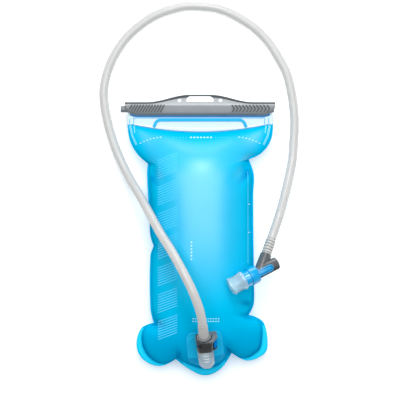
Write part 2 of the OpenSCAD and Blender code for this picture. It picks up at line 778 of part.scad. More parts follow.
module valve_core() {
    color("royalblue") at_valve() difference() {
        along_x(nose_to + 2, 10, 3);
        translate([0, -2, 0]) along_x(nose_to, 4.2, 1.5);
        translate([nose_to + 2, -3.5, -0.7]) cube([6.4, 7, 1.4]);
    }
}

// Half of the mouthpiece's lengthwise section
module mouthpiece_section() {
    a = mouth_from;
    b = mouth_to;
    r = mouthpiece_radius;
    polygon([[collar_nose_radius + 0.05, a], [r - 0.4, a], [r, a + 1], [r, a + 5], [r - 0.9, a + 7.5],
        [r - 0.7, b - 5], [r, b - 2], [r - 0.6, b - 0.4], [r - 1.6, b], [0, b],
        [0, b - 2.4], [6.4, b - 2.4], [6.8, collar_nose_to + 0.2], [collar_nose_radius + 0.05, collar_nose_to + 0.2]]);
}

module bite_valve() {
    full = mouthpiece_radius * 1.2;
    color("lightcyan") at_valve() difference() {
        intersection() {
            rotate([0, 90, 0]) rotate_extrude() mouthpiece_section();
            rotate([90, 0, 0]) translate([0, 0, -20]) linear_extrude(40) polygon([
                [mouth_from - 1, -full], [mouth_from + 5, -full], [mouth_to + 1, -lip_height / 2],
                [mouth_to + 1, lip_height / 2], [mouth_from + 5, full], [mouth_from - 1, full]]);
        }
        translate([mouth_to - 3, -5.5, -0.2]) cube([5, 11, 0.4]);
    }
}

front_film();
back_film();
front_bead();
back_bead();
mouth_stiffener();
slide_seal();
port_skirt();
port_elbow();
port_o_ring();
poppet();
poppet_seal();
poppet_spring();
coupler_body();
release_latch();
latch_spring();
hose_ferrule();
hose();
valve_elbow();
valve_o_ring();
twist_collar();
valve_core();
bite_valve();
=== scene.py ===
"""Hydration bladder, filled and lying on its back: film bag, slide seal, hose and bite valve."""

import json
import math

import bmesh
import bpy
import numpy as np
from mathutils import Euler, Matrix, Vector
from mathutils.bvhtree import BVHTree


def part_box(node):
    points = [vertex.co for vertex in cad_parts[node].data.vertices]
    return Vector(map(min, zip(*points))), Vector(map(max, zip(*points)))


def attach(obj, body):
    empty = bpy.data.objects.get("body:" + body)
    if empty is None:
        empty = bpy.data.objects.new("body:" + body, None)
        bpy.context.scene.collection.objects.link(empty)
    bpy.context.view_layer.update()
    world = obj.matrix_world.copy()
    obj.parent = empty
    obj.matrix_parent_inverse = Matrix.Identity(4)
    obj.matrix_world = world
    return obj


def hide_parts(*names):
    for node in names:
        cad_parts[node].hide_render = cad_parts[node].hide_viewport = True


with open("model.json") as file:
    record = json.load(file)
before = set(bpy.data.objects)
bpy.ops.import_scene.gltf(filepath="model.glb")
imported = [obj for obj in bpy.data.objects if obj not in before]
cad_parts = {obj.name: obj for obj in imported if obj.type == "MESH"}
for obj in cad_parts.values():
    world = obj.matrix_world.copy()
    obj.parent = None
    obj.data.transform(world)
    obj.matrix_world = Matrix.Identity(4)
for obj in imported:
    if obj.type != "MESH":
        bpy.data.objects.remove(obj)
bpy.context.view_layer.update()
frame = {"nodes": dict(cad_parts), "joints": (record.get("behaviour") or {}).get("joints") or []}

# Shapes are drawn in millimetres and brought to metres when a piece is finished
MM = 0.001
# The most materials that a solid carries through a cut
MOST_MATERIALS = 4

# Film edge of the bag from the left end of the mouth, counter-clockwise: x, y, 1 where it runs smoothly
EDGE_KEYS = [
    (-86, 152.8, 0), (-86.8, 130.6, 1), (-83.4, 111.6, 1), (-74.4, 96.1, 1), (-62.5, 85.6, 0),
    (-63.5, 71.6, 1), (-60.5, 18, 1), (-59.5, -1, 1), (-55.5, -13, 0), (-59.5, -25, 1),
    (-59.5, -88, 1), (-55.5, -105, 0), (-70.5, -111.6, 1), (-76, -133, 1), (-68, -149, 1),
    (-48, -157, 1), (-29, -148.6, 0), (-14, -160, 1), (6, -168, 1), (25, -160, 1),
    (38, -141, 0), (56, -150.4, 1), (76, -143, 1), (81, -133, 1), (77, -106, 1),
    (67, -98, 1), (58.5, -95.5, 0), (64.5, -82, 1), (64.5, -54, 1), (63.8, 48.6, 1),
    (64.5, 72.6, 1), (58.5, 90.6, 0), (73, 97.6, 1), (84, 111.6, 1), (87.4, 127.6, 1),
    (86, 152.8, 0),
]
SPINE_X, SPINE_LOW, SPINE_TOP = 2.5, -100, 72
SEAM_HEIGHT = 26
FILM = 0.6
FRONT_RISE = 39.4
SEAM_WIDTH, LOBE_WELD = 2.6, 5.4
LOBES, LOBE_REACH = [(-72, -142), (79, -138), (6, -168)], 24
CREASE_DROP, CREASE_BOW, MOUTH_HALF = 20.5, 10, 86
# Where the front film lies flat round the port, and where that ends
PORT_FLAT, PORT_FLAT_END = 18, 44
# Folds of the front film from its notches inwards: start, end, depth, half width, side of the wall that gets
# painted shade
FOLDS = [
    ((-66, 82), (-42, 58), 7, 7, 1), ((64, 88), (38, 60), 7, 7, -1), ((-60, -12), (-45, -16), 3, 5, 1),
    ((62, -86), (42, -80), 5, 5, 1), ((62, -97), (40, -90), 3, 4, -1), ((-60, -106), (-40, -112), 4, 6, -1),
    ((-29, -150), (-29, -132), 3.5, 5, 1), ((38, -144), (35, -124), 3.5, 5, -1),
]
SLIDE_Y = 143.6
PORT_AXIS_HEIGHT = 12.6

# Hose route on the table and over the bag
HOSE_ROUTE = [
    (-0.5, -86.5, 100), (-9.5, -62.5, 104.5), (-21.5, -39, 98.5), (-33.5, -18, 82.5), (-47, 3, 64.5),
    (-59.5, 25, 46), (-72, 47, 31), (-84.5, 68, 19), (-96.5, 92, 10.5), (-105, 114, 6.5), (-111, 135, 5.5),
    (-115, 156, 5.5), (-116, 174, 5.5), (-113, 192, 5.5), (-107, 209, 5.5), (-99, 224, 5.5), (-87, 240, 5.5),
    (-70, 255, 5.5), (-52, 266, 5.5), (-35, 272, 5.5), (-18, 276, 5.5), (0, 276, 5.5), (18, 274, 5.5),
    (36, 268, 5.5), (54, 258, 5.5), (69, 247, 5.5), (83, 232, 5.5), (94, 215, 5.5), (104, 196, 5.5),
    (110, 173, 5.5), (113, 152, 5.5), (114, 135, 5.5), (113, 114, 6), (111, 90, 10), (106, 66, 18),
    (100, 42, 28), (94, 22, 37),
]
HOSE_OD, HOSE_ID = 10.6, 6.6
HOSE_FLARE = 0.7
HOSE_STRAIGHT = 18
# Rings of the hose's ends at the coupler and at the valve: pitch, depth of the grooves
HOSE_RINGS, GROOVE_WIDTH = [(2.4, 0.35), (3.7, 0.8)], 0.55

# Places along the plug's axis and along the valve's barrel
PLUG_FROM, PLUG_TO = 18, 33
COUPLER_FROM, COUPLER_TOP = 18.5, 36
LATCH_Y = 30.3
BUTTON_FROM, BUTTON_TO = COUPLER_FROM + 2.2, COUPLER_TOP - 2.5
PORT_LIFT = math.radians(10.5)
ELBOW_RADIUS, PLUG_RADIUS, NECK_RADIUS, NECK_LENGTH = 9.5, 6.4, 6.2, 15.2
BORE_RADIUS = 2.2
SOCKET_RADIUS, BARB_LOW, BARB_HIGH = 6.7, 3.1, 3.7
SKIRT_WIDTH, SKIRT_HEIGHT, SKIRT_ROUND, SKIRT_RISE = 44, 46, 10, 7
# Rings of the patch that are its raised lines, and the place up the plug from where they are paler
RAISED_LINES, LINES_FROM = (2, 6), -4
BARREL_LENGTH, BRANCH_LENGTH = 28, 23
BRANCH_AT = BARREL_LENGTH - 4
BRANCH_ANGLE = math.radians(138)
VALVE_TURN = (20, -14, 207)
O_RING_AT = 22.3
BARREL_RADIUS = 7.4
# Turn round the barrel, in degrees, of the grip on its underside, whose black is partly painted shade
GRIP_SHADE_FROM, GRIP_SHADE_TO = 52, 130
COLLAR_LENGTH, COLLAR_RADIUS = 10.4, 11.2
TAB_LENGTH, TAB_WIDTH, TAB_RIBS, TAB_TURN = 22, 8, 7, math.radians(-28)
NOSE_TO = 46.3
MOUTH_FROM, MOUTH_TO, MOUTH_RADIUS = 46.8, 65.8, 10.4
LIP_FLATTEN, LIP_SPREAD, LIP_BOW = 0.42, 0.04, 1.2

# Slide seal and mouth
SLIDE_LENGTH, SLIDE_DEPTH, SLIDE_END, SLIDE_END_RISE = 180, 12.4, 16, 11
SLIDE_CREASE = 11.6
CHANNEL_HEIGHT, HANDLE_HEIGHT = 13, 11.4
HANDLE_CROWN, HANDLE_FALL, HANDLE_FOOT = 24, 52, 2.4
WEB = 4.6
BEAD_UP, BEAD_CHANNEL = 7.1, 3.95
STIFFENER_LENGTH, STIFFENER_WIDTH, STIFFENER_Y = 115, 3.6, 137.8

joints = {j["name"]: j for j in frame["joints"]}


def plug_frame():
    """Frame of the port's plug: X to the button, Y up the plug, Z away from the film."""
    up = Vector(joints["hose_release"]["axis"]).normalized()
    right = -Vector(joints["button_press"]["axis"]).normalized()
    out = right.cross(up)
    low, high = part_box("port_o_ring")
    at = (low + high) / 2 / MM - O_RING_AT * up
    turn = Matrix((right, up, out)).transposed().to_4x4()
    return Matrix.Translation(at) @ turn


def valve_frame():
    """Frame of the bite valve: X along the barrel to the mouthpiece, Z up to the lock tab."""
    at = Vector(joints["collar_twist"]["pos_m"]) / MM
    turn = Euler([math.radians(a) for a in VALVE_TURN]).to_matrix().to_4x4()
    return Matrix.Translation(at) @ turn


PLUG = plug_frame()
VALVE = valve_frame()
BRANCH = VALVE @ Matrix.Translation((BRANCH_AT, 0, 0)) @ Matrix.Rotation(-BRANCH_ANGLE, 4, "Z")


# Materials


def linear(colour):
    """An sRGB hex colour as the linear RGBA that shader sockets take."""
    parts = [int(colour[i:i + 2], 16) / 255 for i in (1, 3, 5)]
    return tuple(c / 12.92 if c <= 0.04045 else ((c + 0.055) / 1.055) ** 2.4 for c in parts) + (1.0,)


def add(tree, kind, inputs=None, **settings):
    """Adds a node with its settings; inputs are sockets to link or values to set."""
    made = tree.nodes.new(kind)
    for name, value in settings.items():
        setattr(made, name, value)
    for name, value in (inputs or {}).items():
        if isinstance(value, bpy.types.NodeSocket):
            tree.links.new(value, made.inputs[name])
        else:
            made.inputs[name].default_value = value
    return made


def material(name, **sockets):
    """A new material with one Principled shader; sockets are set by name, with _ for a space."""
    made = bpy.data.materials.new(name)
    made.use_nodes = True
    tree = made.node_tree
    shader = tree.nodes["Principled BSDF"]
    for key, value in sockets.items():
        shader.inputs[key.replace("_", " ")].default_value = value
    return made, tree, shader


def clouds(tree, size_mm, detail=3.0):
    """Soft noise from 0 to 1 with clouds of about size_mm."""
    at = add(tree, "ShaderNodeTexCoord").outputs["Object"]
    noise = {"Vector": at, "Scale": 1 / (size_mm * MM), "Detail": detail}
    return add(tree, "ShaderNodeTexNoise", noise).outputs["Fac"]


def mixed(tree, share, colour_a, colour_b):
    """Colour from colour_a where share is 0 to colour_b where it is 1."""
    sides = {"Factor": share}
    for place, colour in ((6, colour_a), (7, colour_b)):
        sides[place] = linear(colour) if isinstance(colour, str) else colour
    return add(tree, "ShaderNodeMix", sides, data_type="RGBA").outputs[2]


def grain(tree, shader, size_mm, height_mm):
    """Fine moulded grain of about size_mm on the shader's normal."""
    bump = {"Height": clouds(tree, size_mm, 2.0), "Distance": height_mm * MM}
    normal = add(tree, "ShaderNodeBump", bump).outputs["Normal"]
    tree.links.new(normal, shader.inputs["Normal"])


def attribute(tree, name):
    """Value that the mesh carries under name."""
    return add(tree, "ShaderNodeAttribute", attribute_name=name).outputs["Fac"]


def tint(tree, shader, cloud_mm, colour_a, colour_b, painted_shade_colour=None):
    """Colours a shader in soft clouds of two close colours, darkened towards a shade colour where the mesh
    carries painted shade.
    """
    colour = mixed(tree, clouds(tree, cloud_mm), colour_a, colour_b)
    if painted_shade_colour:
        colour = mixed(tree, attribute(tree, "painted_shade"), colour, painted_shade_colour)
    tree.links.new(colour, shader.inputs["Base Color"])


def moulded(name, colour_a, colour_b, cloud_mm, grain_mm, grain_height, **sockets):
    """Moulded polymer: two close colours in soft clouds under a fine grain."""
    made, tree, shader = material(name, **sockets)
    tint(tree, shader, cloud_mm, colour_a, colour_b)
    grain(tree, shader, grain_mm, grain_height)
    return made


def tinted_film():
    """Tinted film, darkened by painted shade in its folds, beside its welds and at its foot; beside its
    welds it also loses its gloss.
    """
    made, tree, shader = material("tinted_tpu_film", Roughness=0.36)
    # Painted shade: the film's colour goes towards dark blue where the mesh carries painted shade
    tint(tree, shader, 26.0, "#00B4E2", "#00BEEC", "#0064AE")
    share = {0: attribute(tree, "shine"), 1: 0.9}
    gloss = add(tree, "ShaderNodeMath", share, operation="MULTIPLY").outputs["Value"]
    tree.links.new(gloss, shader.inputs["Specular IOR Level"])
    grain(tree, shader, 0.9, 0.015)
    return made


def milky_hose():
    """Milky hose, with painted shade in the grooves between its end rings."""
    made, tree, shader = material("milky_pvc_hose", Roughness=0.22, Transmission_Weight=0.25, IOR=1.45)
    # Painted shade: greyer where the mesh marks the grooves between the end rings
    tint(tree, shader, 30.0, "#D2D3D2", "#DCDDDC", "#6E6E6C")
    grain(tree, shader, 1.0, 0.01)
    return made


# Film of the filled bag: tinted TPU with a soft satin face, with painted shade in its folds, beside its
# welds and at its foot
film_blue = tinted_film()
# Welded rim, where both films are pressed into one: brighter than the film
weld_blue = moulded("welded_tpu_rim", "#00C8F6", "#04D2FC", 12.0, 1.2, 0.03, Roughness=0.35,
                    Specular_IOR_Level=0.1)
# Patch round the port: the same film, doubled and matt
patch_blue = moulded("doubled_tpu_patch", "#009AD2", "#00A4DC", 14.0, 0.9, 0.015, Roughness=0.5,
                     Specular_IOR_Level=0.05)
# Upper part of the patch, from its raised lines inwards: a little paler
patch_paler = moulded("paler_tpu_line", "#14B4E6", "#20BCEC", 10.0, 0.9, 0.01, Roughness=0.5,
                     Specular_IOR_Level=0.05)
# Film of the mouth: one clear layer over another, hardly tinted
film_clear = moulded("clear_tpu_film", "#D8F0F6", "#E6F8FB", 20.0, 1.5, 0.02, Roughness=0.18,
                     Alpha=0.55)
# Beads welded to the mouth: soft extrusion, hardly blue
bead_clear = moulded("clear_tpu_bead", "#BFE2F8", "#D2ECFB", 8.0, 0.6, 0.01, Roughness=0.2)
# Stiffener strip: blue polyethylene with a dull gloss
stiffener_blue = moulded("blue_pe_strip", "#00A8DC", "#06B0E6", 15.0, 0.8, 0.01, Roughness=0.35,
                         Specular_IOR_Level=0.2)
# Slide seal: grey glass-filled nylon with a satin moulded face
slide_grey = moulded("grey_moulded_nylon", "#6A7176", "#747C81", 18.0, 0.35, 0.02, Roughness=0.34)
# Grip grooves of the slide: the same nylon, left rough, darker as painted shade
slide_groove_shade = moulded("groove_painted_shade_nylon", "#3E4347", "#484D51", 6.0, 0.3, 0.03, Roughness=0.7)
# Slope of the slide above its crease: the same nylon, polished, and paler as a painted highlight
slide_slope_highlight = moulded("slope_painted_highlight_nylon", "#A2A7AA", "#AEB3B6", 12.0, 0.35, 0.01, Roughness=0.32)
# Rim of the slide: the same nylon with a coarse grain, darker as painted shade
slide_rim_shade = moulded("rim_painted_shade_nylon", "#4E5458", "#585E62", 12.0, 0.4, 0.03, Roughness=0.5)
# Port: clear moulded copolyester, slightly frosted
port_clear = moulded("clear_copolyester", "#D8E8F0", "#E6F1F6", 10.0, 4.0, 0.002,
                     Roughness=0.2, Transmission_Weight=0.6, IOR=1.4)
# Coupler: dark grey ABS with a fine satin grain
coupler_grey = moulded("dark_grey_abs", "#222426", "#2C2F31", 8.0, 0.3, 0.02, Roughness=0.34)
# Plate of the coupler: polished grey ABS
plate_grey = moulded("polished_grey_abs", "#565B60", "#60656A", 6.0, 0.3, 0.01, Roughness=0.28)
# Ferrule under the hose: lighter grey ABS, satin
ferrule_grey = moulded("light_grey_abs", "#747B7F", "#80878B", 6.0, 0.3, 0.015, Roughness=0.32)
# Release button: deep blue acetal, almost without gloss
latch_blue = moulded("blue_acetal", "#0074C4", "#007ECE", 6.0, 0.3, 0.01, Roughness=0.3,
                     Specular_IOR_Level=0.0)
# Hose: milky PVC, soft gloss and a little see-through
hose_clear = milky_hose()
# Twist collar: glossy blue polypropylene
collar_blue = moulded("blue_polypropylene", "#009CDA", "#00A6E4", 9.0, 0.4, 0.01, Roughness=0.1,
                      Specular_IOR_Level=0.4, Coat_Weight=0.6, Coat_Roughness=0.06)
# Well of the lock tab: the same polypropylene, darker as painted shade
collar_well_shade = moulded("well_painted_shade_polypropylene", "#0060AC", "#006AB8", 5.0, 0.4, 0.01, Roughness=0.3)
# Core of the valve: pale blue polypropylene that shows through the silicone
core_blue = moulded("pale_blue_polypropylene", "#6CC8F6", "#7CD2FA", 6.0, 0.4, 0.01, Roughness=0.3)
# Mouthpiece: clear silicone with a soft sheen
silicone_clear = moulded("clear_silicone", "#DCF8FF", "#E8FBFF", 7.0, 4.0, 0.002,
                         Roughness=0.03, Transmission_Weight=0.72, IOR=1.18, Coat_Weight=0.35,
                         Coat_Roughness=0.1)
# Seals: black nitrile rubber, dull
seal_rubber = moulded("black_nitrile_rubber", "#1C1C1D", "#262627", 4.0, 0.3, 0.02, Roughness=0.6)
# Poppet: white acetal, satin
poppet_white = moulded("white_acetal", "#E8EAEB", "#F4F5F5", 5.0, 0.3, 0.01, Roughness=0.3)
# Springs: drawn stainless wire, bright
spring_steel = moulded("stainless_wire", "#B4B6B8", "#C8CACC", 3.0, 0.2, 0.005, Roughness=0.25, Metallic=1.0)
# Thin weld lines beside the mouth: a deeper tint where the films are pressed together
weld_line_blue = moulded("pressed_weld_line", "#4CAEE4", "#62BAE8", 10.0, 0.8, 0.01, Roughness=0.25)
# Elbow of the valve: mid grey ABS with a satin face
elbow_grey = moulded("mid_grey_abs", "#4E5356", "#5A5F62", 8.0, 0.3, 0.02, Roughness=0.24,
                     Specular_IOR_Level=0.9)
# Ribbed grip under the elbow: the same ABS, rough and nearly black, its black partly painted shade on the
# barrel's underside
grip_and_shade = moulded("rough_black_abs_grip_and_painted_shade", "#141617", "#1C1E1F", 4.0, 0.3, 0.03, Roughness=0.7,
                    Specular_IOR_Level=0.1)
# Print on the film: white ink that takes a little of the film's tint
ink_white = moulded("white_screen_ink", "#A8E2F8", "#B8E8FC", 5.0, 0.5, 0.005, Roughness=0.5)
# Hatched print: pale blue ink, close to the film's own colour
ink_pale = moulded("pale_screen_ink", "#44CAFA", "#54D0FC", 5.0, 0.5, 0.005, Roughness=0.45)
# Folds beside the mouth: film made pale by a painted highlight
fold_highlight = moulded("fold_painted_highlight_film", "#62CCF4", "#7AD6F8", 10.0, 0.8, 0.01, Roughness=0.25)
# Lines at the mouth, a deeper blue: a crease line of films folded double, and a painted shadow under the
# slide
crease_and_shadow_blue = moulded("crease_and_painted_shadow_film", "#0674BC", "#1082C8", 10.0, 0.8, 0.01, Roughness=0.3,
                      Specular_IOR_Level=0.2)


# Drawing


def mesh_of(name, bm):
    """A mesh made from a bmesh, which is used up."""
    mesh = bpy.data.meshes.new(name)
    bm.to_mesh(mesh)
    bm.free()
    return mesh


def stand(name, data, place=(0, 0, 0)):
    """A new object in the scene."""
    made = bpy.data.objects.new(name, data)
    made.location = place
    bpy.context.scene.collection.objects.link(made)
    return made


def piece(name, bm, materials, body, replaces=(), sharp=35):
    """Finishes a bmesh drawn in millimetres as a piece that rides on a body."""
    mesh = mesh_of(name, bm)
    mesh.transform(Matrix.Scale(MM, 4))
    for one in materials:
        mesh.materials.append(one)
    mesh.polygons.foreach_set("use_smooth", [True] * len(mesh.polygons))
    mesh.set_sharp_from_angle(angle=math.radians(sharp))
    made = stand(name, mesh)
    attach(made, body)
    if replaces:
        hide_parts(*replaces)
    return made


def thicken(made, thickness):
    """Gives a sheet its wall, inwards from its outer face."""
    wall = made.modifiers.new("wall", "SOLIDIFY")
    wall.thickness = thickness * MM
    wall.offset = -1


def curve_point(a, way_a, b, way_b, t):
    """Point at t of the curve from a to b that leaves along way_a and arrives along way_b."""
    span = (b - a).length
    return (a * (2 * t ** 3 - 3 * t * t + 1) + way_a * span * (t ** 3 - 2 * t * t + t)
            + b * (3 * t * t - 2 * t ** 3) + way_b * span * (t ** 3 - t * t))


def curve_line(points, ways, step):
    """Points about step apart on the curve through points that follows ways."""
    line = []
    for i in range(len(points) - 1):
        steps = max(2, round((points[i + 1] - points[i]).length / step))
        for j in range(steps):
            line.append(curve_point(points[i], ways[i], points[i + 1], ways[i + 1], j / steps))
    return line + [points[-1]]


def ways_along(line):
    """Direction of a line at each of its points."""
    last = len(line) - 1
    return [(line[min(i + 1, last)] - line[max(i - 1, 0)]).normalized() for i in range(len(line))]


def smooth_step(low, high, value):
    """0 below low, 1 above high and smooth between them."""
    t = min(max((value - low) / (high - low), 0), 1)
    return t * t * (3 - 2 * t)


def outward(bm):
    """Turns the faces of a closed bmesh outwards."""
    bmesh.ops.recalc_face_normals(bm, faces=bm.faces)
    if bm.calc_volume(signed=True) < 0:
        bmesh.ops.reverse_faces(bm, faces=bm.faces)


def face_up(bm, side=1):
    """Turns the faces of a sheet up, or down where side is -1."""
    bmesh.ops.recalc_face_normals(bm, faces=bm.faces)
    if sum(f.normal.z for f in bm.faces) * side < 0:
        bmesh.ops.reverse_faces(bm, faces=bm.faces)


def first_ring(bm, places):
    """A closed ring of points: its vertices and edges."""
    verts = [bm.verts.new(p) for p in places]
    return verts, [bm.edges.new(pair) for pair in zip(verts, verts[1:] + verts[:1])]


def next_ring(bm, edges):
    """Draws a ring of edges out into the next ring: its vertices and edges."""
    grown = bmesh.ops.extrude_edge_only(bm, edges=edges)["geom"]
    verts = [g for g in grown if isinstance(g, bmesh.types.BMVert)]
    return verts, [g for g in grown if isinstance(g, bmesh.types.BMEdge)]


def drawn_out(bm, rings):
    """Draws a sheet through closed rings of points, and gives each ring's vertices and edges on the way."""
    edges = []
    for ring in rings:
        verts, edges = next_ring(bm, edges) if edges else first_ring(bm, ring)
        for v, p in zip(verts, ring):
            v.co = p
        yield verts, edges


def lofted(rings):
    """A solid drawn through closed rings of points, with flat ends."""
    bm = bmesh.new()
    sections = [verts for verts, _ in drawn_out(bm, rings)]
    bm.faces.new(sections[0])
    bm.faces.new(sections[-1])
    outward(bm)
    return bm


def turned(profile, steps=48):
    """A solid turned about X from (x, radius) points."""
    bm = bmesh.new()
    verts = [bm.verts.new((x, 0, r)) for x, r in profile]
    edges = [bm.edges.new(pair) for pair in zip(verts, verts[1:])]
    bmesh.ops.spin(bm, geom=verts + edges, cent=(0, 0, 0), axis=(1, 0, 0), dvec=(0, 0, 0),
                   angle=2 * math.pi, steps=steps, use_merge=True)
    bmesh.ops.remove_doubles(bm, verts=bm.verts, dist=1e-4)
    outward(bm)
    return bm


def placed(bm, place):
    """A bmesh brought to its place by a matrix."""
    bm.transform(place)
    return bm


def bevelled(bm, edges, width, segments=3):
    """Rounds edges of a bmesh."""
    bmesh.ops.bevel(bm, geom=edges, offset=width, offset_type="OFFSET", segments=segments,
                    profile=0.5, affect="EDGES", material=-1, clamp_overlap=True)


def prism(outline, low, high, round_ends=0.0):
    """A solid with a flat outline in X and Y from low to high in Z, its end edges rounded."""
    bm = bmesh.new()
    corners = [bm.verts.new((x, y, low)) for x, y in outline]
    bm.faces.new(corners)
    bmesh.ops.remove_doubles(bm, verts=corners, dist=1e-3)
    grown = bmesh.ops.extrude_face_region(bm, geom=bm.faces[:])["geom"]
    lifted = [g for g in grown if isinstance(g, bmesh.types.BMVert)]
    bmesh.ops.translate(bm, verts=lifted, vec=(0, 0, high - low))
    outward(bm)
    if round_ends:
        rims = [e for e in bm.edges if abs(e.verts[0].co.z - e.verts[1].co.z) < 1e-6]
        bevelled(bm, rims, round_ends)
    return bm


def arc(x, y, radius, start, end, steps):
    """Points of an arc round x, y between two angles in degrees."""
    angles = [math.radians(start + (end - start) * k / steps) for k in range(steps + 1)]
    return [(x + radius * math.cos(a), y + radius * math.sin(a)) for a in angles]


def stadium(length, width, steps=10):
    """Outline of a bar along X with round ends."""
    reach = (length - width) / 2
    return arc(reach, 0, width / 2, -90, 90, steps) + arc(-reach, 0, width / 2, 90, 270, steps)


def round_box(width, height, radius, steps=6):
    """Outline of a rectangle with round corners."""
    x, y = width / 2 - radius, height / 2 - radius
    corners = ((x, y, 0), (-x, y, 90), (-x, -y, 180), (x, -y, 270))
    return [p for cx, cy, a in corners for p in arc(cx, cy, radius, a, a + 90, steps)]


def bar(size, rounding, place):
    """A rounded bar of that size, placed by a matrix."""
    bm = bmesh.new()
    bmesh.ops.create_cube(bm, size=1)
    bmesh.ops.scale(bm, vec=size, verts=bm.verts)
    bevelled(bm, bm.edges[:], rounding, 2)
    return placed(bm, place)


def joined(*parts):
    """One bmesh that holds several."""
    bm = bmesh.new()
    for part in parts:
        mesh = mesh_of("part", part)
        bm.from_mesh(mesh)
        bpy.data.meshes.remove(mesh)
    return bm


def combined(first, second, operation="DIFFERENCE"):
    """The difference or union of two closed bmeshes; faces keep their material numbers."""
    made = []
    for bm in (first, second):
        mesh = mesh_of("solid", bm)
        for _ in range(MOST_MATERIALS):
            mesh.materials.append(None)
        made.append(stand("solid", mesh))
    cut = made[0].modifiers.new("cut", "BOOLEAN")
    cut.operation = operation
    cut.object = made[1]
    cut.solver = "EXACT"
    bm = bmesh.new()
    bm.from_object(made[0], bpy.context.evaluated_depsgraph_get())
    for solid in made:
        bpy.data.meshes.remove(solid.data)
    return bm


# Camera and lights


def floor():
    """Plain pale floor under the bag."""
    bm = bmesh.new()
    bmesh.ops.create_grid(bm, x_segments=1, y_segments=1, size=6)
    mesh = mesh_of("floor", bm)
    paper, tree, shader = material("matt_white_paper", Roughness=0.9, Emission_Color=(1, 1, 1, 1),
                                   Emission_Strength=0.25)
    tint(tree, shader, 400.0, "#F8F9FA", "#FDFDFD")
    mesh.materials.append(paper)
    stand("floor", mesh)


def soft_box(name, place, width, depth, watts):
    """A soft light, width by depth, that faces the bag."""
    lamp = bpy.data.lights.new(name, "AREA")
    lamp.shape = "RECTANGLE"
    lamp.size = width
    lamp.size_y = depth
    lamp.energy = watts
    made = stand(name, lamp, place)
    made.rotation_euler = (-Vector(place)).to_track_quat("-Z", "Y").to_euler()


def studio():
    """White surroundings, lights from the slide's side and from above, and a weak fill."""
    world = bpy.data.worlds.new("studio")
    world.use_nodes = True
    sky = world.node_tree.nodes["Background"].inputs
    sky["Color"].default_value = (1, 1, 1, 1)
    sky["Strength"].default_value = 0.28
    bpy.context.scene.world = world
    bpy.context.scene.view_settings.view_transform = "Standard"
    soft_box("key", (0.05, 0.9, 1.1), 0.4, 0.4, 6)
    soft_box("top", (0.0, 0.8, 3.6), 4.0, 2.4, 108)
    soft_box("back", (0.0, 1.6, 0.35), 0.8, 0.6, 6)
    soft_box("fill", (0.6, -0.5, 1.5), 0.9, 0.7, 1.5)


def camera():
    """Camera straight over the bag, with a long lens: 1.2 mm to a pixel of the 400-pixel frame."""
    lens = bpy.data.cameras.new("camera")
    lens.lens = 223.5
    lens.sensor_width = 36
    lens.clip_end = 20
    bpy.context.scene.camera = stand("camera", lens, (0, 0.042, 3.0))


floor()
studio()
camera()


# Hose


def hose_line():
    """Centre line of the hose, from the coupler over the bag to the bite valve."""
    exit_way = PLUG.to_3x3() @ Vector((0, 1, 0))
    start = PLUG @ Vector((0, COUPLER_TOP, 0))
    end_way = BRANCH.to_3x3() @ Vector((1, 0, 0))
    end = BRANCH @ Vector((BRANCH_LENGTH, 0, 0))
    points = [start, start + HOSE_STRAIGHT * exit_way, *map(Vector, HOSE_ROUTE),
              end + HOSE_STRAIGHT * end_way, end]
    ways = [(b - a).normalized() for a, b in zip(points[:-2], points[2:])]
    ways = [exit_way, exit_way, *ways[1:-1], -end_way, -end_way]
    start, end = curve_line(points[:2], ways[:2], 0.4), curve_line(points[-2:], ways[-2:], 0.4)
    return start[:-1] + curve_line(points[1:-1], ways[1:-1], 1.4)[:-1] + end


def hose_radius(along, total):
    """Outside radius at a length along the hose, and the depth of a groove between its end rings there,
    which also sets the painted shade in it.
    """
    radius = HOSE_OD / 2
    groove = 0.0
    for gap, (pitch, depth) in zip((along, total - along), HOSE_RINGS):
        radius += HOSE_FLARE * smooth_step(0, 1, (HOSE_STRAIGHT + 4 - gap) / 4)
        if gap < HOSE_STRAIGHT + 3:
            groove += depth * math.exp(-((gap % pitch - pitch / 2) / GROOVE_WIDTH) ** 2)
    return radius - groove, groove


def hose():
    """Tube along the hose's line, drawn out ring by ring."""
    line = hose_line()
    along = [0.0]
    for a, b in zip(line, line[1:]):
        along.append(along[-1] + (b - a).length)
    bm = bmesh.new()
    # Painted shade in the grooves between the end rings
    painted_shade = bm.verts.layers.float.new("painted_shade")
    ring = bmesh.ops.create_circle(bm, segments=24, radius=1)["verts"]
    shape = [v.co.copy() for v in ring]
    edges = bm.edges[:]
    side = Vector((1, 0, 0))
    for i, (centre, way) in enumerate(zip(line, ways_along(line))):
        side = (side - way * side.dot(way)).normalized()
        if i:
            ring, edges = next_ring(bm, edges)
        radius, groove = hose_radius(along[i], along[-1])
        for v, flat in zip(ring, shape):
            v.co = centre + radius * (flat.x * side + flat.y * way.cross(side))
            v[painted_shade] = groove
    bmesh.ops.recalc_face_normals(bm, faces=bm.faces)
    made = piece("drink_hose", bm, [hose_clear], "hose_line", ["hose"])
    thicken(made, (HOSE_OD - HOSE_ID) / 2)
    return made, line, along[-1]


drink_hose, hose_path, hose_length = hose()


# Bag


def crease_y(x):
    """Height of the crease under the mouth, where the filled part of the bag begins."""
    return SLIDE_Y - CREASE_DROP + CREASE_BOW * (x / MOUTH_HALF) ** 2


def spine(p):
    """Point of the bag's middle line that faces a point of its edge."""
    return Vector((SPINE_X, min(max(p.y, SPINE_LOW), SPINE_TOP)))


def bag_edge():
    """Edge of the film, counter-clockwise, with the straight mouth last."""
    points = [Vector(k[:2]) for k in EDGE_KEYS]
    count = len(points)
    ways = [(points[(i + 1) % count] - points[i - 1]).normalized() * EDGE_KEYS[i][2] for i in range(count)]
    line = curve_line(points, ways, 2.5)
    steps = 60
    mouth = [points[-1].lerp(points[0], k / steps) for k in range(1, steps)]
    return line + mouth


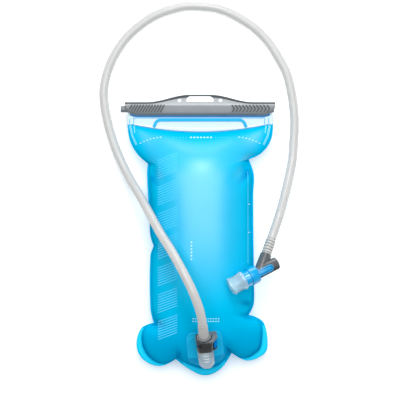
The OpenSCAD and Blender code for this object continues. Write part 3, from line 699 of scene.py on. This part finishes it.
def lobe(p):
    """1 in the middle of a lobe of the bag's foot, 0 away from them."""
    return max(math.exp(-((p - Vector(at)).length / LOBE_REACH) ** 2) for at in LOBES)


def weld_line(edge):
    """Inner edge of the weld, or the crease below the mouth."""
    line = []
    for p in edge:
        q = p - (SEAM_WIDTH + LOBE_WELD * lobe(p)) * (p - spine(p)).normalized()
        line.append(Vector((q.x, min(q.y, crease_y(q.x)))))
    return line


# Grid on which the swelling is worked out: size of a cell, rounds and how far each round overshoots
CELL, ROUNDS, OVERSHOOT = 1.5, 500, 1.94


def swelling(outline):
    """Swelling of a blown-up sheet held along outline: a grid of heights and its corner."""
    poly = np.array([p[:] for p in outline])
    corner = poly.min(0) - 2 * CELL
    cols, rows = (np.ceil((poly.max(0) + 2 * CELL - corner) / CELL)).astype(int)
    x, y = np.meshgrid(corner[0] + CELL * np.arange(cols), corner[1] + CELL * np.arange(rows))
    inside = np.zeros(x.shape, bool)
    for (ax, ay), (bx, by) in zip(poly, np.roll(poly, -1, 0)):
        if ay != by:
            crosses = ((ay > y) != (by > y)) & (x < (bx - ax) * (y - ay) / (by - ay) + ax)
            inside ^= crosses
    even = np.add.outer(np.arange(rows), np.arange(cols)) % 2 == 0
    height = np.zeros(x.shape)
    for _ in range(ROUNDS):
        for cells in (inside & even, inside & ~even):
            around = np.zeros_like(height)
            around[1:-1, 1:-1] = height[:-2, 1:-1] + height[2:, 1:-1] + height[1:-1, :-2] + height[1:-1, 2:]
            height[cells] += OVERSHOOT * ((around[cells] + CELL * CELL) / 4 - height[cells])
    return height / height.max(), corner


def sample(field, corner, p):
    """Value of a grid at a point, between its cells."""
    u, v = (p.x - corner[0]) / CELL, (p.y - corner[1]) / CELL
    i, j = int(v), int(u)
    s, t = v - i, u - j
    low = field[i, j] * (1 - t) + field[i, j + 1] * t
    high = field[i + 1, j] * (1 - t) + field[i + 1, j + 1] * t
    return max(0.0, low * (1 - s) + high * s)


edge = bag_edge()
weld = weld_line(edge)
SWELL, SWELL_CORNER = swelling(weld)
# Shares of the way from weld to middle line at which the film has a ring of points
RINGS = [0.012, 0.03, 0.055, 0.085, 0.12, 0.155, 0.19, 0.23, 0.27, 0.31, 0.35, 0.4, 0.45, 0.5, 0.56, 0.62,
         0.68, 0.74, 0.8, 0.86, 0.92, 0.965, 0.99]
NEAR_WELD = 7
# Material numbers of the films
TINTED, WELDED, CLEAR = 0, 1, 2
# Painted shade at the foot, and on the weld along the sides
FOOT_PAINTED_SHADE, WELD_PAINTED_SHADE = 0.32, 0.25
# Painted shade along the inside of the weld: width, strength along the sides and what the lobes add
RIM_WIDTH, RIM_PAINTED_SHADE, LOBE_PAINTED_SHADE = 2.6, 0.1, 0.55
# Painted shade in the folds, for each millimetre of their depth
FOLD_PAINTED_SHADE = 0.11
PORT_PLANE_AT = PLUG @ Vector((0, 0, -PORT_AXIS_HEIGHT))
PORT_PLANE_WAY = PLUG.to_3x3() @ Vector((0, math.sin(PORT_LIFT), math.cos(PORT_LIFT)))


def folds(p):
    """Drop of the front film at p into the folds that start at the bag's notches, and the painted shade on
    their walls.
    """
    drop, dark = 0.0, 0.0
    for start, end, depth, width, side in FOLDS:
        a, b = Vector(start), Vector(end)
        way = (b - a).normalized()
        along = (p - a).dot(way) / (b - a).length
        off = side * (p - a).cross(way)
        share = smooth_step(-0.3, 0.1, along) * (1 - smooth_step(0.25, 1.15, along))
        drop += depth * share * math.exp(-(off / width) ** 2)
        # Painted shade on the fold's wall
        dark += FOLD_PAINTED_SHADE * depth * share * math.exp(-((off - 0.6 * width) / (0.6 * width)) ** 2)
    return drop, dark


def fullness(p):
    """How sharply the bag fills out: round along its sides, a slow wedge below the mouth."""
    return 0.5 + 0.35 * smooth_step(62, 125, p.y)


def front_height(p, depth, swell):
    """Height of the front film over its weld at p, depth from the weld."""
    rise = FRONT_RISE * swell ** fullness(p)
    away = (p - PORT_PLANE_AT.xy).length
    plane = PORT_PLANE_AT.z - (PORT_PLANE_WAY.xy @ (p - PORT_PLANE_AT.xy)) / PORT_PLANE_WAY.z
    share = (1 - smooth_step(PORT_FLAT, PORT_FLAT_END, away)) * smooth_step(0, 16, depth)
    rise += share * (plane - SEAM_HEIGHT - FILM - rise)
    return max(rise - folds(p)[0] * smooth_step(0, 6, depth), 0.4 * rise)


def back_height(p, depth, swell):
    """Depth of the back film under its weld, flat where it rests on the table."""
    drop = SEAM_HEIGHT / 0.8 * swell ** fullness(p)
    rest = SEAM_HEIGHT - FILM
    return rest - (max(rest - drop, 0) ** 2 + 1) ** 0.5 + 1 if drop > rest - 4 else drop


def film_look(p, depth, at_lobe):
    """Painted shade at p, strong by the weld, at the foot and in folds, and gloss, high on top."""
    # Painted shade inside the weld, stronger at the lobes, at the foot and in the folds
    rim = math.exp(-(depth / RIM_WIDTH) ** 2) * (RIM_PAINTED_SHADE + LOBE_PAINTED_SHADE * at_lobe)
    foot = FOOT_PAINTED_SHADE * (1 - smooth_step(-130, -85, p.y))
    fold = folds(p)[1] * smooth_step(0, 4, depth)
    return min(1.0, foot + rim + fold), smooth_step(6, 30, depth) * smooth_step(-95, 20, p.y)


def film(name, base, side, height, node):
    """One film of the bag, drawn in ring by ring from its edge."""
    bm = bmesh.new()
    # Painted shade and gloss that each vertex carries
    painted_shade, shine = bm.verts.layers.float.new("painted_shade"), bm.verts.layers.float.new("shine")
    _, edges = first_ring(bm, [(p.x, p.y, base) for p in edge])
    near = []
    for b in weld:
        way = (spine(b) - b).normalized()
        near.append(sample(SWELL, SWELL_CORNER, b + NEAR_WELD * way))
    near = np.convolve(near[-2:] + near + near[:2], np.ones(5) / 5, "valid")
    levels = [("weld", s) for s in (0.3, 0.7, 1.0)] + [("film", s) for s in RINGS]
    for kind, share in levels:
        ring, edges = next_ring(bm, edges)
        for i, v in enumerate(ring):
            if kind == "weld":
                p, z = edge[i].lerp(weld[i], share), 0.0
                # Painted shade on the weld along the straight sides
                v[painted_shade] = WELD_PAINTED_SHADE * (1 - lobe(edge[i]))
            else:
                p = weld[i].lerp(spine(weld[i]), share)
                depth = (p - weld[i]).length
                swell = sample(SWELL, SWELL_CORNER, p)
                if depth < NEAR_WELD:
                    swell = near[i] * depth / NEAR_WELD
                z = height(p, depth, swell)
                v[painted_shade], v[shine] = film_look(p, depth, lobe(edge[i]))
            v.co = (p.x, p.y, base + side * z)
        for f in {f for e in edges for f in e.link_faces}:
            middle = f.calc_center_median()
            f.material_index = TINTED
            if kind == "weld" and middle.y > crease_y(middle.x) - 0.5:
                f.material_index = CLEAR
            elif kind == "weld" and lobe(middle.xy) >= 0.2:
                f.material_index = WELDED
    bmesh.ops.triangle_fill(bm, edges=edges, use_beauty=True)
    face_up(bm, side)
    made = piece(name, bm, [film_blue, weld_blue, film_clear], "reservoir", [node], sharp=180)
    thicken(made, FILM * 0.9)
    return made


front = film("front_film_shell", SEAM_HEIGHT + FILM, 1, front_height, "front_film")
film("back_film_shell", SEAM_HEIGHT - FILM, -1, back_height, "back_film")


# Things that lie on the film

film_tree = BVHTree.FromPolygons(
    [v.co / MM for v in front.data.vertices], [p.vertices[:] for p in front.data.polygons])


def on_film(place, way, lift):
    """Point on the front film met from place along way, lifted off it by lift."""
    hit, normal, _, _ = film_tree.ray_cast(place, way)
    return hit + lift * normal


def above(x, y, lift):
    """Point of the front film over x, y, lifted off it by lift."""
    return on_film(Vector((x, y, 200)), Vector((0, 0, -1)), lift)


def ribbon(line, width, lift, thickness):
    """A flat strip along points of the front film, thickness high."""
    bm = bmesh.new()
    across = [Vector((-way.y, way.x)) * width / 2 for way in ways_along(line)]
    edges = []
    for side in (1, -1):
        row = [bm.verts.new(above(*(p + side * a), lift)) for p, a in zip(line, across)]
        edges += [bm.edges.new(pair) for pair in zip(row, row[1:])]
    bmesh.ops.bridge_loops(bm, edges=edges)
    face_up(bm)
    bmesh.ops.solidify(bm, geom=bm.faces[:], thickness=thickness)
    return bm


def path(*corners, step=2.0):
    """Points about step apart along straight lines between corners."""
    line = []
    for a, b in zip(corners, corners[1:]):
        a, b = Vector(a), Vector(b)
        steps = max(1, round((b - a).length / step))
        line += [a.lerp(b, k / steps) for k in range(steps)]
    return line + [Vector(corners[-1])]


def on_bag(name, parts, finish):
    """Finishes parts as one piece on the film."""
    piece(name, joined(*parts), [finish], "reservoir")


def mouth_stiffener():
    """Blue strip welded across the mouth, with rounded shoulders and short legs."""
    half, top, corner = STIFFENER_LENGTH / 2 - 2, STIFFENER_Y, 7
    foot = top - 8.5
    left_turn = arc(-half + corner + 1.5, top - corner, corner, 170, 90, 8)
    line = [(-half, foot)] + left_turn + [(-x, y) for x, y in reversed(left_turn)] + [(half, foot)]
    bm = ribbon(path(*line), STIFFENER_WIDTH, 0.8, 0.8)
    piece("mouth_stiffener_strip", bm, [stiffener_blue], "reservoir", ["mouth_stiffener"])


def mouth_welds():
    """Thin weld lines that frame the mouth."""
    left, right, top, low = -79.5, 77.5, 140.2, 131.5
    lines = [path((left, top), (right, top))]
    for x, side in ((left, -1), (right, 1)):
        lines.append(path((x, low), (x, top)))
        lines.append(path((x + 5 * side, low - 4), (x + 4.5 * side, top)))
    parts = [ribbon(line, 1.1, 0.25, 0.25) for line in lines]
    on_bag("mouth_weld_lines", parts, weld_line_blue)


def mouth_creases():
    """Blue lines: a painted shadow under the slide, and a line of doubled film along the crease where the
    filled part begins.
    """
    smile = [Vector((x, crease_y(x) + 0.4)) for x in range(-82, 83, 2)]
    # Painted shadow of the slide on the film
    under = [Vector((x, SLIDE_Y + slide_low(x) - 1.4)) for x in range(-84, 85, 2)]
    parts = [ribbon(smile, 0.8, 0.2, 0.2), ribbon(under, 2.2, 0.2, 0.2)]
    on_bag("mouth_crease_and_shadow_lines", parts, crease_and_shadow_blue)


def side_folds():
    """Folds of film that run down beside the mouth, pale with a painted highlight."""
    parts = []
    for side in (-1, 1):
        wide = path((side * 83.5, 131), (side * 81, 119), (side * 76, 108))
        thin = path((side * 79, 131), (side * 78, 122))
        parts += [ribbon(wide, 2.4, 0.25, 0.3), ribbon(thin, 1.0, 0.25, 0.3)]
    on_bag("mouth_side_folds", parts, fold_highlight)


def dashes(points, length, width):
    """Printed dashes that start at points and run to the right."""
    return [ribbon(path((x, y), (x + length, y), step=1), width, 0.2, 0.15) for x, y in points]


def fill_marks():
    """Printed fill marks: plain dashes at shoulders, middle and port, a scale on the right side."""
    shoulder = [(x, 117.2 - 0.0085 * (x - 41) ** 2) for x in range(46, 74, 4)]
    parts = dashes([(x, 116.6) for x in range(-12, 16, 4)], 2.4, 1.4)
    parts += dashes(shoulder + [(-x - 2, y) for x, y in shoulder], 2, 1)
    parts += dashes([(-11, y) for y in range(-28, -4, 4)], 1.8, 2)
    parts += dashes([(x, y) for x in range(-9, 23, 3) for y in (-98.5, -101.7)], 1.8, 1)
    parts += dashes([(57.2, y) for y in (37, 3.5)], 2.2, 0.9)
    on_bag("fill_marks", parts, ink_white)
    thin = [ribbon(path((57, 76), (57, -33), step=3), 0.45, 0.2, 0.15)]
    thin += dashes([(x, 116.6) for x in (*range(-33, -13, 4), *range(18, 36, 4))], 1.6, 0.5)
    on_bag("fill_lines", thin, ink_pale)


def hatch_marks():
    """Printed bars of slanted hatching up the left side."""
    parts = []
    for low in range(-124, 70, 32):
        for k in range(8):
            y = low + 3 * k
            parts.append(ribbon(path((-50, y), (-27, y + 9), step=3), 1.0, 0.18, 0.12))
    on_bag("hatch_marks", parts, ink_pale)


def port_skirt():
    """Welded patch round the port with two raised lines, rising into the collar of the neck."""
    corners = round_box(SKIRT_WIDTH, SKIRT_HEIGHT, SKIRT_ROUND, 12)
    square = path(*corners, corners[0], step=1.5)[:-1]
    out = PLUG.to_3x3() @ Vector((0, 0, 1))
    to_plug = PLUG.inverted()

    def over_film(x, y, lift):
        """Point of the film under x, y of the plug's frame, lifted away from it."""
        return on_film(PLUG @ Vector((x, y, 30)), -out, 0.08) + lift * out

    # Share of the patch, height over the film
    steps = [(1.0, 0.05), (0.985, 0.7), (0.945, 0.75), (0.93, 0.4), (0.875, 0.4), (0.86, 0.8), (0.815, 0.85),
             (0.8, 0.4), (0.73, 0.4), (0.66, 0.4), (0.6, 0.4)]
    # Radius, height over the film
    collar = [(9.4, 0.45), (8.7, 0.9), (8.6, 2.3), (8.1, 2.8), (6.5, 2.8)]
    rings = []
    for share, lift in steps:
        rise = SKIRT_RISE * (share - 0.45) / 0.55
        rings.append([over_film(share * x, share * y + rise, lift * (0.4 + 0.6 * smooth_step(-22, -8, y)))
                      for x, y in square])
    turns = [math.atan2(y, x) for x, y in square]
    for radius, lift in collar:
        rings.append([over_film(radius * math.cos(a), radius * math.sin(a), lift) for a in turns])
    bm = bmesh.new()
    for i, (_, edges) in enumerate(drawn_out(bm, rings)):
        # Faces drawn on from a raised line keep its material
        if i in RAISED_LINES:
            for f in {f for e in edges for f in e.link_faces}:
                f.material_index = 1 if (to_plug @ f.calc_center_median()).y > LINES_FROM else 0
    face_up(bm)
    made = piece("port_skirt_patch", bm, [patch_blue, patch_paler], "reservoir", ["port_skirt"])
    thicken(made, 0.5)


mouth_stiffener()
mouth_welds()
side_folds()
fill_marks()
hatch_marks()
port_skirt()


# Slide seal

SLIDE = Matrix.Translation((0, SLIDE_Y, SEAM_HEIGHT))
# Material numbers of the slide: painted shade in the grooves and on the rim, a painted highlight on the
# slope
GROOVE, SLOPE, RIM = 1, 2, 3


def handle_y(x):
    """Height of the slide's top edge over its bottom."""
    t = min(max((abs(x) - HANDLE_CROWN / 2) / HANDLE_FALL, 0), 1)
    return CHANNEL_HEIGHT + HANDLE_FOOT + (HANDLE_HEIGHT - HANDLE_FOOT) * (1 + math.cos(math.pi * t)) / 2


def slide_low(x):
    """Height of the slide's bottom edge, which curves up at both ends."""
    over = max(0, abs(x) - (SLIDE_LENGTH / 2 - SLIDE_END)) / SLIDE_END
    return SLIDE_END_RISE * (1 - math.sqrt(max(0, 1 - over * over)))


def rim_height(x):
    """Height of the rim along the slide's top edge."""
    return 1.9 + 1.6 * (handle_y(x) - CHANNEL_HEIGHT - HANDLE_FOOT) / (HANDLE_HEIGHT - HANDLE_FOOT)


def slide_section(x, inset):
    """Front half of the slide's section at x from bottom to top: height, depth."""
    low, top = slide_low(x) + inset, handle_y(x) - inset
    depth, web = SLIDE_DEPTH / 2 - inset, WEB / 2
    crease = max(SLIDE_CREASE, low + 0.4)
    rim = rim_height(x)
    rim_low = top - rim
    slope_top = min(rim_low, crease + depth - web)
    back = depth - (slope_top - crease)
    k = min(1, (crease - low) / 3.2)
    return [(low, depth - 2.2), (low + 0.3 * k, depth - 1.3), (low + 0.9 * k, depth - 0.6),
            (low + 1.8 * k, depth - 0.1), (low + 3.5 * k, depth), (crease - 0.6 * k, depth),
            (crease - 0.1 * k, depth - 0.12), (crease + 0.4, depth - 0.5), (slope_top, back),
            (max(rim_low, slope_top + 0.05), back), (rim_low + 0.3 * rim, back + 0.35),
            (top - 0.5, back + 1.5), (top - 0.12, back + 1.3), (top, back + 0.6)]


def slide_blank():
    """The slide's outer form, drawn from end to end section by section."""
    half = SLIDE_LENGTH / 2
    stations = [(half, 0.8), (half - 0.25, 0.35), (half - 0.8, 0)]
    stations += [(half - SLIDE_END * k / 12, 0) for k in range(1, 13)]
    stations += [(x, 0) for x in range(72, -1, -3)]
    stations += [(-x, inset) for x, inset in reversed(stations[:-1])]
    rings = []
    for x, inset in stations:
        half_ring = slide_section(x, inset)
        rings.append([(x, y, z) for y, z in half_ring] + [(x, y, -z) for y, z in reversed(half_ring)])
    bm = lofted(rings)
    # Painted shade on the rim, a painted highlight on the slope above the crease
    for f in bm.faces:
        middle = f.calc_center_median()
        if middle.y > handle_y(middle.x) - rim_height(middle.x):
            f.material_index = RIM
        elif middle.y > SLIDE_CREASE:
            f.material_index = SLOPE
    return bm


def slide_grooves():
    """Slanted grip grooves on the left and chevron grooves on the right, as solids to cut away."""
    low, high = SLIDE_DEPTH / 2 - 1.1, SLIDE_DEPTH / 2 + 2
    parts = []
    foot_y, head_y, lean = 3.2, 12.4, math.tan(math.radians(28))
    for k in range(12):
        x = -86.8 + 3.5 * k
        start = max(foot_y, slide_low(x) + 2.4)
        foot, head = x + lean * (start - foot_y), x + lean * (head_y - foot_y)
        groove = [(foot, start), (foot + 1.3, start), (head + 1.3, head_y), (head, head_y)]
        parts.append(prism(groove, low, high))
    for k in range(11):
        x = 40.5 + 4.2 * k
        chevron = [(x - 3, 12.0), (x - 1.5, 12.0), (x + 1.4, 7.6), (x - 1.4, 3.6), (x - 2.9, 3.6), (x, 7.6)]
        parts.append(prism(chevron, low, high))
    bm = joined(*parts)
    # Painted shade in the grooves
    for f in bm.faces:
        f.material_index = GROOVE
    return bm


def slide_cutters():
    """What is cut from the slide: hanging slot, eyes and the channel for the beads."""
    slot_y = CHANNEL_HEIGHT + HANDLE_HEIGHT - 1.8 - 3.3
    outline = arc(11, -2.2, 5.5, 0, 90, 8) + arc(-11, -2.2, 5.5, 90, 180, 8)
    outline += arc(-15.4, -2.2, 1.1, 180, 270, 4) + arc(15.4, -2.2, 1.1, 270, 360, 4)
    slot = placed(prism(outline, -10, 10), Matrix.Translation((0, slot_y, 0)))
    eyes = [prism(arc(side * 24.5, CHANNEL_HEIGHT + 4.6, 2.2, 0, 345, 23), -10, 10) for side in (-1, 1)]
    channel = turned([(-95, 0), (-95, BEAD_CHANNEL), (88.5, BEAD_CHANNEL), (88.5, 0)], 32)
    channel = placed(channel, Matrix.Translation((0, BEAD_UP, 0)))
    mouth = bar((183.5, BEAD_UP + 3, 1.9), 0.01, Matrix.Translation((-3.25, BEAD_UP / 2 - 1.5, 0)))
    return [joined(slot, *eyes), channel, mouth]


def slide_seal():
    """Slide that grips both beads and closes the mouth."""
    bm = slide_blank()
    for cutter in [slide_grooves()] + slide_cutters():
        bm = combined(bm, cutter)
    finishes = [slide_grey, slide_groove_shade, slide_slope_highlight, slide_rim_shade]
    piece("slide_seal_body", placed(bm, SLIDE), finishes, "slide", ["slide_seal"])


slide_seal()
mouth_creases()


# Port and coupler


def up_plug(profile, steps=48):
    """A solid turned about the plug's axis from (place up the plug, radius) points."""
    return placed(turned(profile, steps), Matrix.Rotation(math.pi / 2, 4, "Z"))


def across_plug(outline, low, high, rounding):
    """Solid across the plug's axis: outline in X and away from the film, low to high up the plug."""
    bm = prism(outline, low, high, rounding)
    bm.transform(Matrix(((1, 0, 0, 0), (0, 0, 1, 0), (0, 1, 0, 0), (0, 0, 0, 1))))
    outward(bm)
    return bm


def port_elbow():
    """Clear elbow that turns the way out of the bag up into the plug."""
    r = ELBOW_RADIUS
    dome = [(-r * math.cos(math.radians(a)), r * math.sin(math.radians(a))) for a in range(0, 91, 9)]
    ridges = []
    for y in (3.4, 7.9, 12.4):
        ridges += [(y, r - 0.8), (y + 0.5, r - 0.1), (y + 1.1, r + 0.15), (y + 1.7, r - 0.1)]
        ridges.append((y + 2.2, r - 0.8))
    profile = [(-r, 0)] + dome[1:] + ridges + [(PLUG_FROM - 0.3, r - 0.9), (PLUG_FROM, r - 1.3)]
    profile.append((PLUG_FROM, PLUG_RADIUS))
    # Grooves for the O-ring and the latch: lower end, upper end, radius
    for low, high, radius in ((O_RING_AT - 1.1, O_RING_AT + 1.1, 4.6), (LATCH_Y - 1.3, LATCH_Y + 1.3, 5.2)):
        profile += [(low, PLUG_RADIUS), (low, radius), (high, radius), (high, PLUG_RADIUS)]
    profile += [(PLUG_TO - 0.5, PLUG_RADIUS), (PLUG_TO, PLUG_RADIUS - 0.5), (PLUG_TO, 0)]
    neck = turned([(-NECK_LENGTH, 0), (-NECK_LENGTH, NECK_RADIUS), (0, NECK_RADIUS), (0, 0)], 40)
    neck = placed(neck, Matrix.Rotation(-math.pi / 2, 4, "Y"))
    chamber = up_plug([(-2.2, 0), (-1.6, 1.6), (0, BORE_RADIUS), (13, BORE_RADIUS), (13, 3.6), (26, 3.6),
                       (26, 2.4), (PLUG_TO + 1, 2.4), (PLUG_TO + 1, 0)], 32)
    bm = combined(combined(up_plug(profile), neck, "UNION"), chamber)
    piece("port_elbow_body", placed(bm, PLUG), [port_clear], "reservoir", ["port_elbow"])


def coupler_body():
    """Dark coupler over the plug: rounded box with a flat front, under a plate that guards the button."""
    box = round_box(19.8, 19.0, 4.2, 6)
    foot, top = COUPLER_FROM, COUPLER_TOP
    # Place up the plug, share of the box
    levels = [(foot, 0.84), (foot + 0.25, 0.89), (foot + 0.9, 0.93), (foot + 3, 0.97), (foot + 8, 1.0),
              (top - 1, 1.0)]
    bm = lofted([[(share * x, y, share * z) for x, z in box] for y, share in levels])
    outline = arc(0, -0.2, 10.3, 110, 250, 14) + [(9, -9.9)] + arc(12.2, -6.9, 3.2, -90, 0, 6)
    outline += arc(14.4, 0.6, 1.2, 0, 45, 3) + arc(9.2, 8.2, 1.4, 45, 90, 3)
    plate = across_plug(outline, top - 2.2, top, 0.5)
    for f in plate.faces:
        f.material_index = 1
    lip = [(0, -8), (12, -8), (14.4, -6), (14.4, 1.5), (11, 5.2), (0, 5.2)]
    for part in (plate, across_plug(lip, foot + 0.3, foot + 1.9, 0.4)):
        bm = combined(bm, part, "UNION")
    socket = up_plug([(PLUG_FROM - 6, 0), (PLUG_FROM - 6, SOCKET_RADIUS), (PLUG_TO + 0.5, SOCKET_RADIUS),
                      (PLUG_TO + 0.5, BORE_RADIUS), (top + 11, BORE_RADIUS), (top + 11, 0)], 40)
    groove = up_plug([(top - 1.3, 8.5), (top - 1.3, 9.5), (top + 2, 9.5), (top + 2, 8.5), (top - 1.3, 8.5)])
    slot = bar((8, 2.4, 12), 0.3, Matrix.Translation((-8.2, LATCH_Y, 7)))
    pocket = bar((5, BUTTON_TO - BUTTON_FROM + 0.4, 11.4), 0.3,
                 Matrix.Translation((10.7, (BUTTON_FROM + BUTTON_TO) / 2, -0.6)))
    for cutter in (socket, groove, slot, pocket):
        bm = combined(bm, cutter)
    barb = [(top - 1, BORE_RADIUS), (top - 1, 3.0), (top + 1, 3.0)]
    for start in (top + 1, top + 5.5, top + 10):
        barb += [(start, BARB_HIGH), (start + 3.5, BARB_LOW)]
    barb += [(top + 15, BARB_LOW), (top + 15, BORE_RADIUS), (top - 1, BORE_RADIUS)]
    bm = placed(joined(bm, up_plug(barb, 24)), PLUG)
    finishes = [coupler_grey, plate_grey]
    return piece("coupler_shell", bm, finishes, "hose_line", ["coupler_body"])


def release_latch():
    """Blue button on the coupler's side, with a nib of its latch plate in the front slot."""
    button = [(10.9, -6), (13.4, -6), (14.6, -4.6), (14.6, 0.6), (10.9, 4.8)]
    nib = bar((4.2, 1.5, 4.5), 0.35, Matrix.Translation((-6.6, LATCH_Y, 5.6)))
    bm = placed(joined(across_plug(button, BUTTON_FROM, BUTTON_TO, 0.5), nib), PLUG)
    return piece("release_button", bm, [latch_blue], "latch", ["release_latch"])


def hose_ferrule():
    """Light ring that closes the hose onto the coupler."""
    t = COUPLER_TOP
    bm = up_plug([(t - 1.0, 6.15), (t - 1.0, 8.3), (t + 1.5, 8.3), (t + 2.1, 8.1), (t + 2.45, 7.6),
                  (t + 2.4, 7.2), (t + 1.7, 6.4), (t + 1.6, 6.15), (t - 1.0, 6.15)])
    bm.transform(PLUG)
    return piece("hose_ferrule_ring", bm, [ferrule_grey], "hose_line", ["hose_ferrule"])


port_elbow()
coupler = coupler_body()
button = release_latch()
ferrule = hose_ferrule()


# Bite valve


def valve_elbow():
    """Dark elbow: a barrel with a closed round end and a branch for the hose."""
    r = BARREL_RADIUS
    end = [(0.0, 0), (0.05, 2.5), (0.3, r - 1.9), (0.7, r - 0.9), (1.3, r - 0.3), (2.2, r)]
    barrel = turned(end + [(BARREL_LENGTH, r), (BARREL_LENGTH, 5.2), (NOSE_TO, 5.2), (NOSE_TO, 0)])
    long = BRANCH_LENGTH
    branch = turned([(0, 0), (0, 7.4), (long - 12, 7.3), (long - 0.6, 6.8), (long, 6.3), (long, 3.6),
                     (long + 15, 3.2), (long + 15, 0)], 40)
    bore = turned([(0, 0), (0, BORE_RADIUS), (long + 20, BORE_RADIUS), (long + 20, 0)], 24)
    to_branch = VALVE.inverted() @ BRANCH
    bm = combined(barrel, placed(branch, to_branch), "UNION")
    bm = combined(bm, placed(bore, to_branch))
    # Grip on the barrel's underside, nearly black, partly as painted shade
    for f in bm.faces:
        middle = f.calc_center_median()
        turn = math.degrees(math.atan2(middle.y, middle.z))
        f.material_index = 1 if 1.5 < middle.x < BARREL_LENGTH and GRIP_SHADE_FROM < turn < GRIP_SHADE_TO else 0
    ribs = []
    for turn in (GRIP_SHADE_FROM + 12, GRIP_SHADE_FROM + 32):
        around = Matrix.Rotation(-math.radians(turn), 4, "X")
        for x in range(4, BARREL_LENGTH - 2, 2):
            ribs.append(bar((0.8, 2.4, 0.8), 0.15, around @ Matrix.Translation((x, 0, r - 0.12))))
    bm = placed(joined(bm, *ribs), VALVE)
    finishes = [elbow_grey, grip_and_shade]
    return piece("valve_elbow_body", bm, finishes, "hose_line", ["valve_elbow"])


def twist_collar():
    """Blue collar that shuts the valve when it is turned, with its lock tab along the barrel."""
    a, b = BARREL_LENGTH + 0.4, BARREL_LENGTH + 0.4 + COLLAR_LENGTH
    r, nose = COLLAR_RADIUS, COLLAR_RADIUS - 1.7
    profile = [(a, 5.5), (a, r - 1.1), (a + 0.2, r - 0.8), (a + 1.4, r - 0.7), (a + 1.7, r - 0.2),
               (a + 2.2, r), (b - 0.5, r), (b - 0.1, r - 0.3), (b, r - 0.8), (b + 0.2, nose),
               (b + 11.1, nose - 0.4), (b + 11.5, nose - 0.8), (b + 11.5, 3.2), (b + 9.5, 3.2),
               (b + 8, 5.5), (a, 5.5)]
    lift = BARREL_RADIUS + 0.5
    middle = a - TAB_LENGTH / 2 + 3
    shift, inner_shift = (Matrix.Translation((x, 0, 0)) for x in (middle, middle - 0.2))
    tab = placed(prism(stadium(TAB_LENGTH, TAB_WIDTH), lift, lift + 2.6, 0.45), shift)
    well = placed(prism(stadium(TAB_LENGTH - 2.8, TAB_WIDTH - 2.6), lift + 1.5, lift + 4), inner_shift)
    # Painted shade on the well's walls
    for f in well.faces:
        f.material_index = 1
    pad = prism(stadium(TAB_LENGTH - 4.6, TAB_WIDTH - 4.2), lift + 1.3, lift + 2.4, 0.3)
    pad.transform(inner_shift)
    parts = [combined(tab, well), pad]
    for k in range(TAB_RIBS):
        place = Matrix.Translation((middle - 6.2 + 2.0 * k, 0, lift + 2.35)) @ Matrix.Rotation(0.6, 4, "Z")
        parts.append(bar((0.7, 2.2, 0.5), 0.12, place))
    bm = joined(turned(profile), placed(joined(*parts), Matrix.Rotation(TAB_TURN, 4, "X")))
    bm.transform(VALVE)
    return piece("twist_collar_shell", bm, [collar_blue, collar_well_shade], "mouthpiece",
                 ["twist_collar"])


def bite_valve():
    """Clear silicone mouthpiece, flattened towards its slit lip."""
    a, b = MOUTH_FROM - 0.6, MOUTH_TO
    r = MOUTH_RADIUS
    outside = [(a, r + 0.2), (a + 0.5, r + 0.9), (a + 1.8, r + 1.1), (a + 3.2, r + 0.8), (a + 5, r + 0.1),
               (a + 9, r - 0.5), (a + 13, r - 0.5), (b - 3, r - 0.1), (b - 1.6, r + 0.3), (b - 0.6, r + 0.1),
               (b - 0.1, r - 0.7), (b, r - 1.8), (b, 0)]
    inside = [(b - 2.4, 0), (b - 2.4, 6.2), (b - 4, 6.9), (a + 6, 7.2), (a + 4.4, 9.5), (a, 9.55),
              (a, r + 0.2)]
    bm = turned(outside + inside, 56)
    for v in bm.verts:
        t = smooth_step(a + 4, b - 2, v.co.x)
        v.co.z *= 1 - LIP_FLATTEN * t
        v.co.y *= 1 + LIP_SPREAD * t
        v.co.x -= LIP_BOW * t * (v.co.y / r) ** 2
    slit = bar((6, 10, 0.35), 0.05, Matrix.Translation((b, 0, 0)))
    bm = placed(combined(bm, slit), VALVE)
    return piece("bite_mouthpiece", bm, [silicone_clear], "mouthpiece", ["bite_valve"])


elbow = valve_elbow()
collar = twist_collar()
mouthpiece = bite_valve()


# Inner pieces keep their own shape and get their finish

for finish, nodes in ((bead_clear, ["front_bead", "back_bead"]), (poppet_white, ["poppet"]),
                      (seal_rubber, ["port_o_ring", "poppet_seal", "valve_o_ring"]),
                      (spring_steel, ["poppet_spring", "latch_spring"]), (core_blue, ["valve_core"])):
    for node in nodes:
        mesh = frame["nodes"][node].data
        mesh.materials.clear()
        mesh.materials.append(finish)

on_hose = [coupler, button, ferrule, elbow, collar, mouthpiece]
on_hose += [frame["nodes"][n] for n in ("latch_spring", "valve_o_ring", "valve_core")]
[p * MM for p in hose_path]
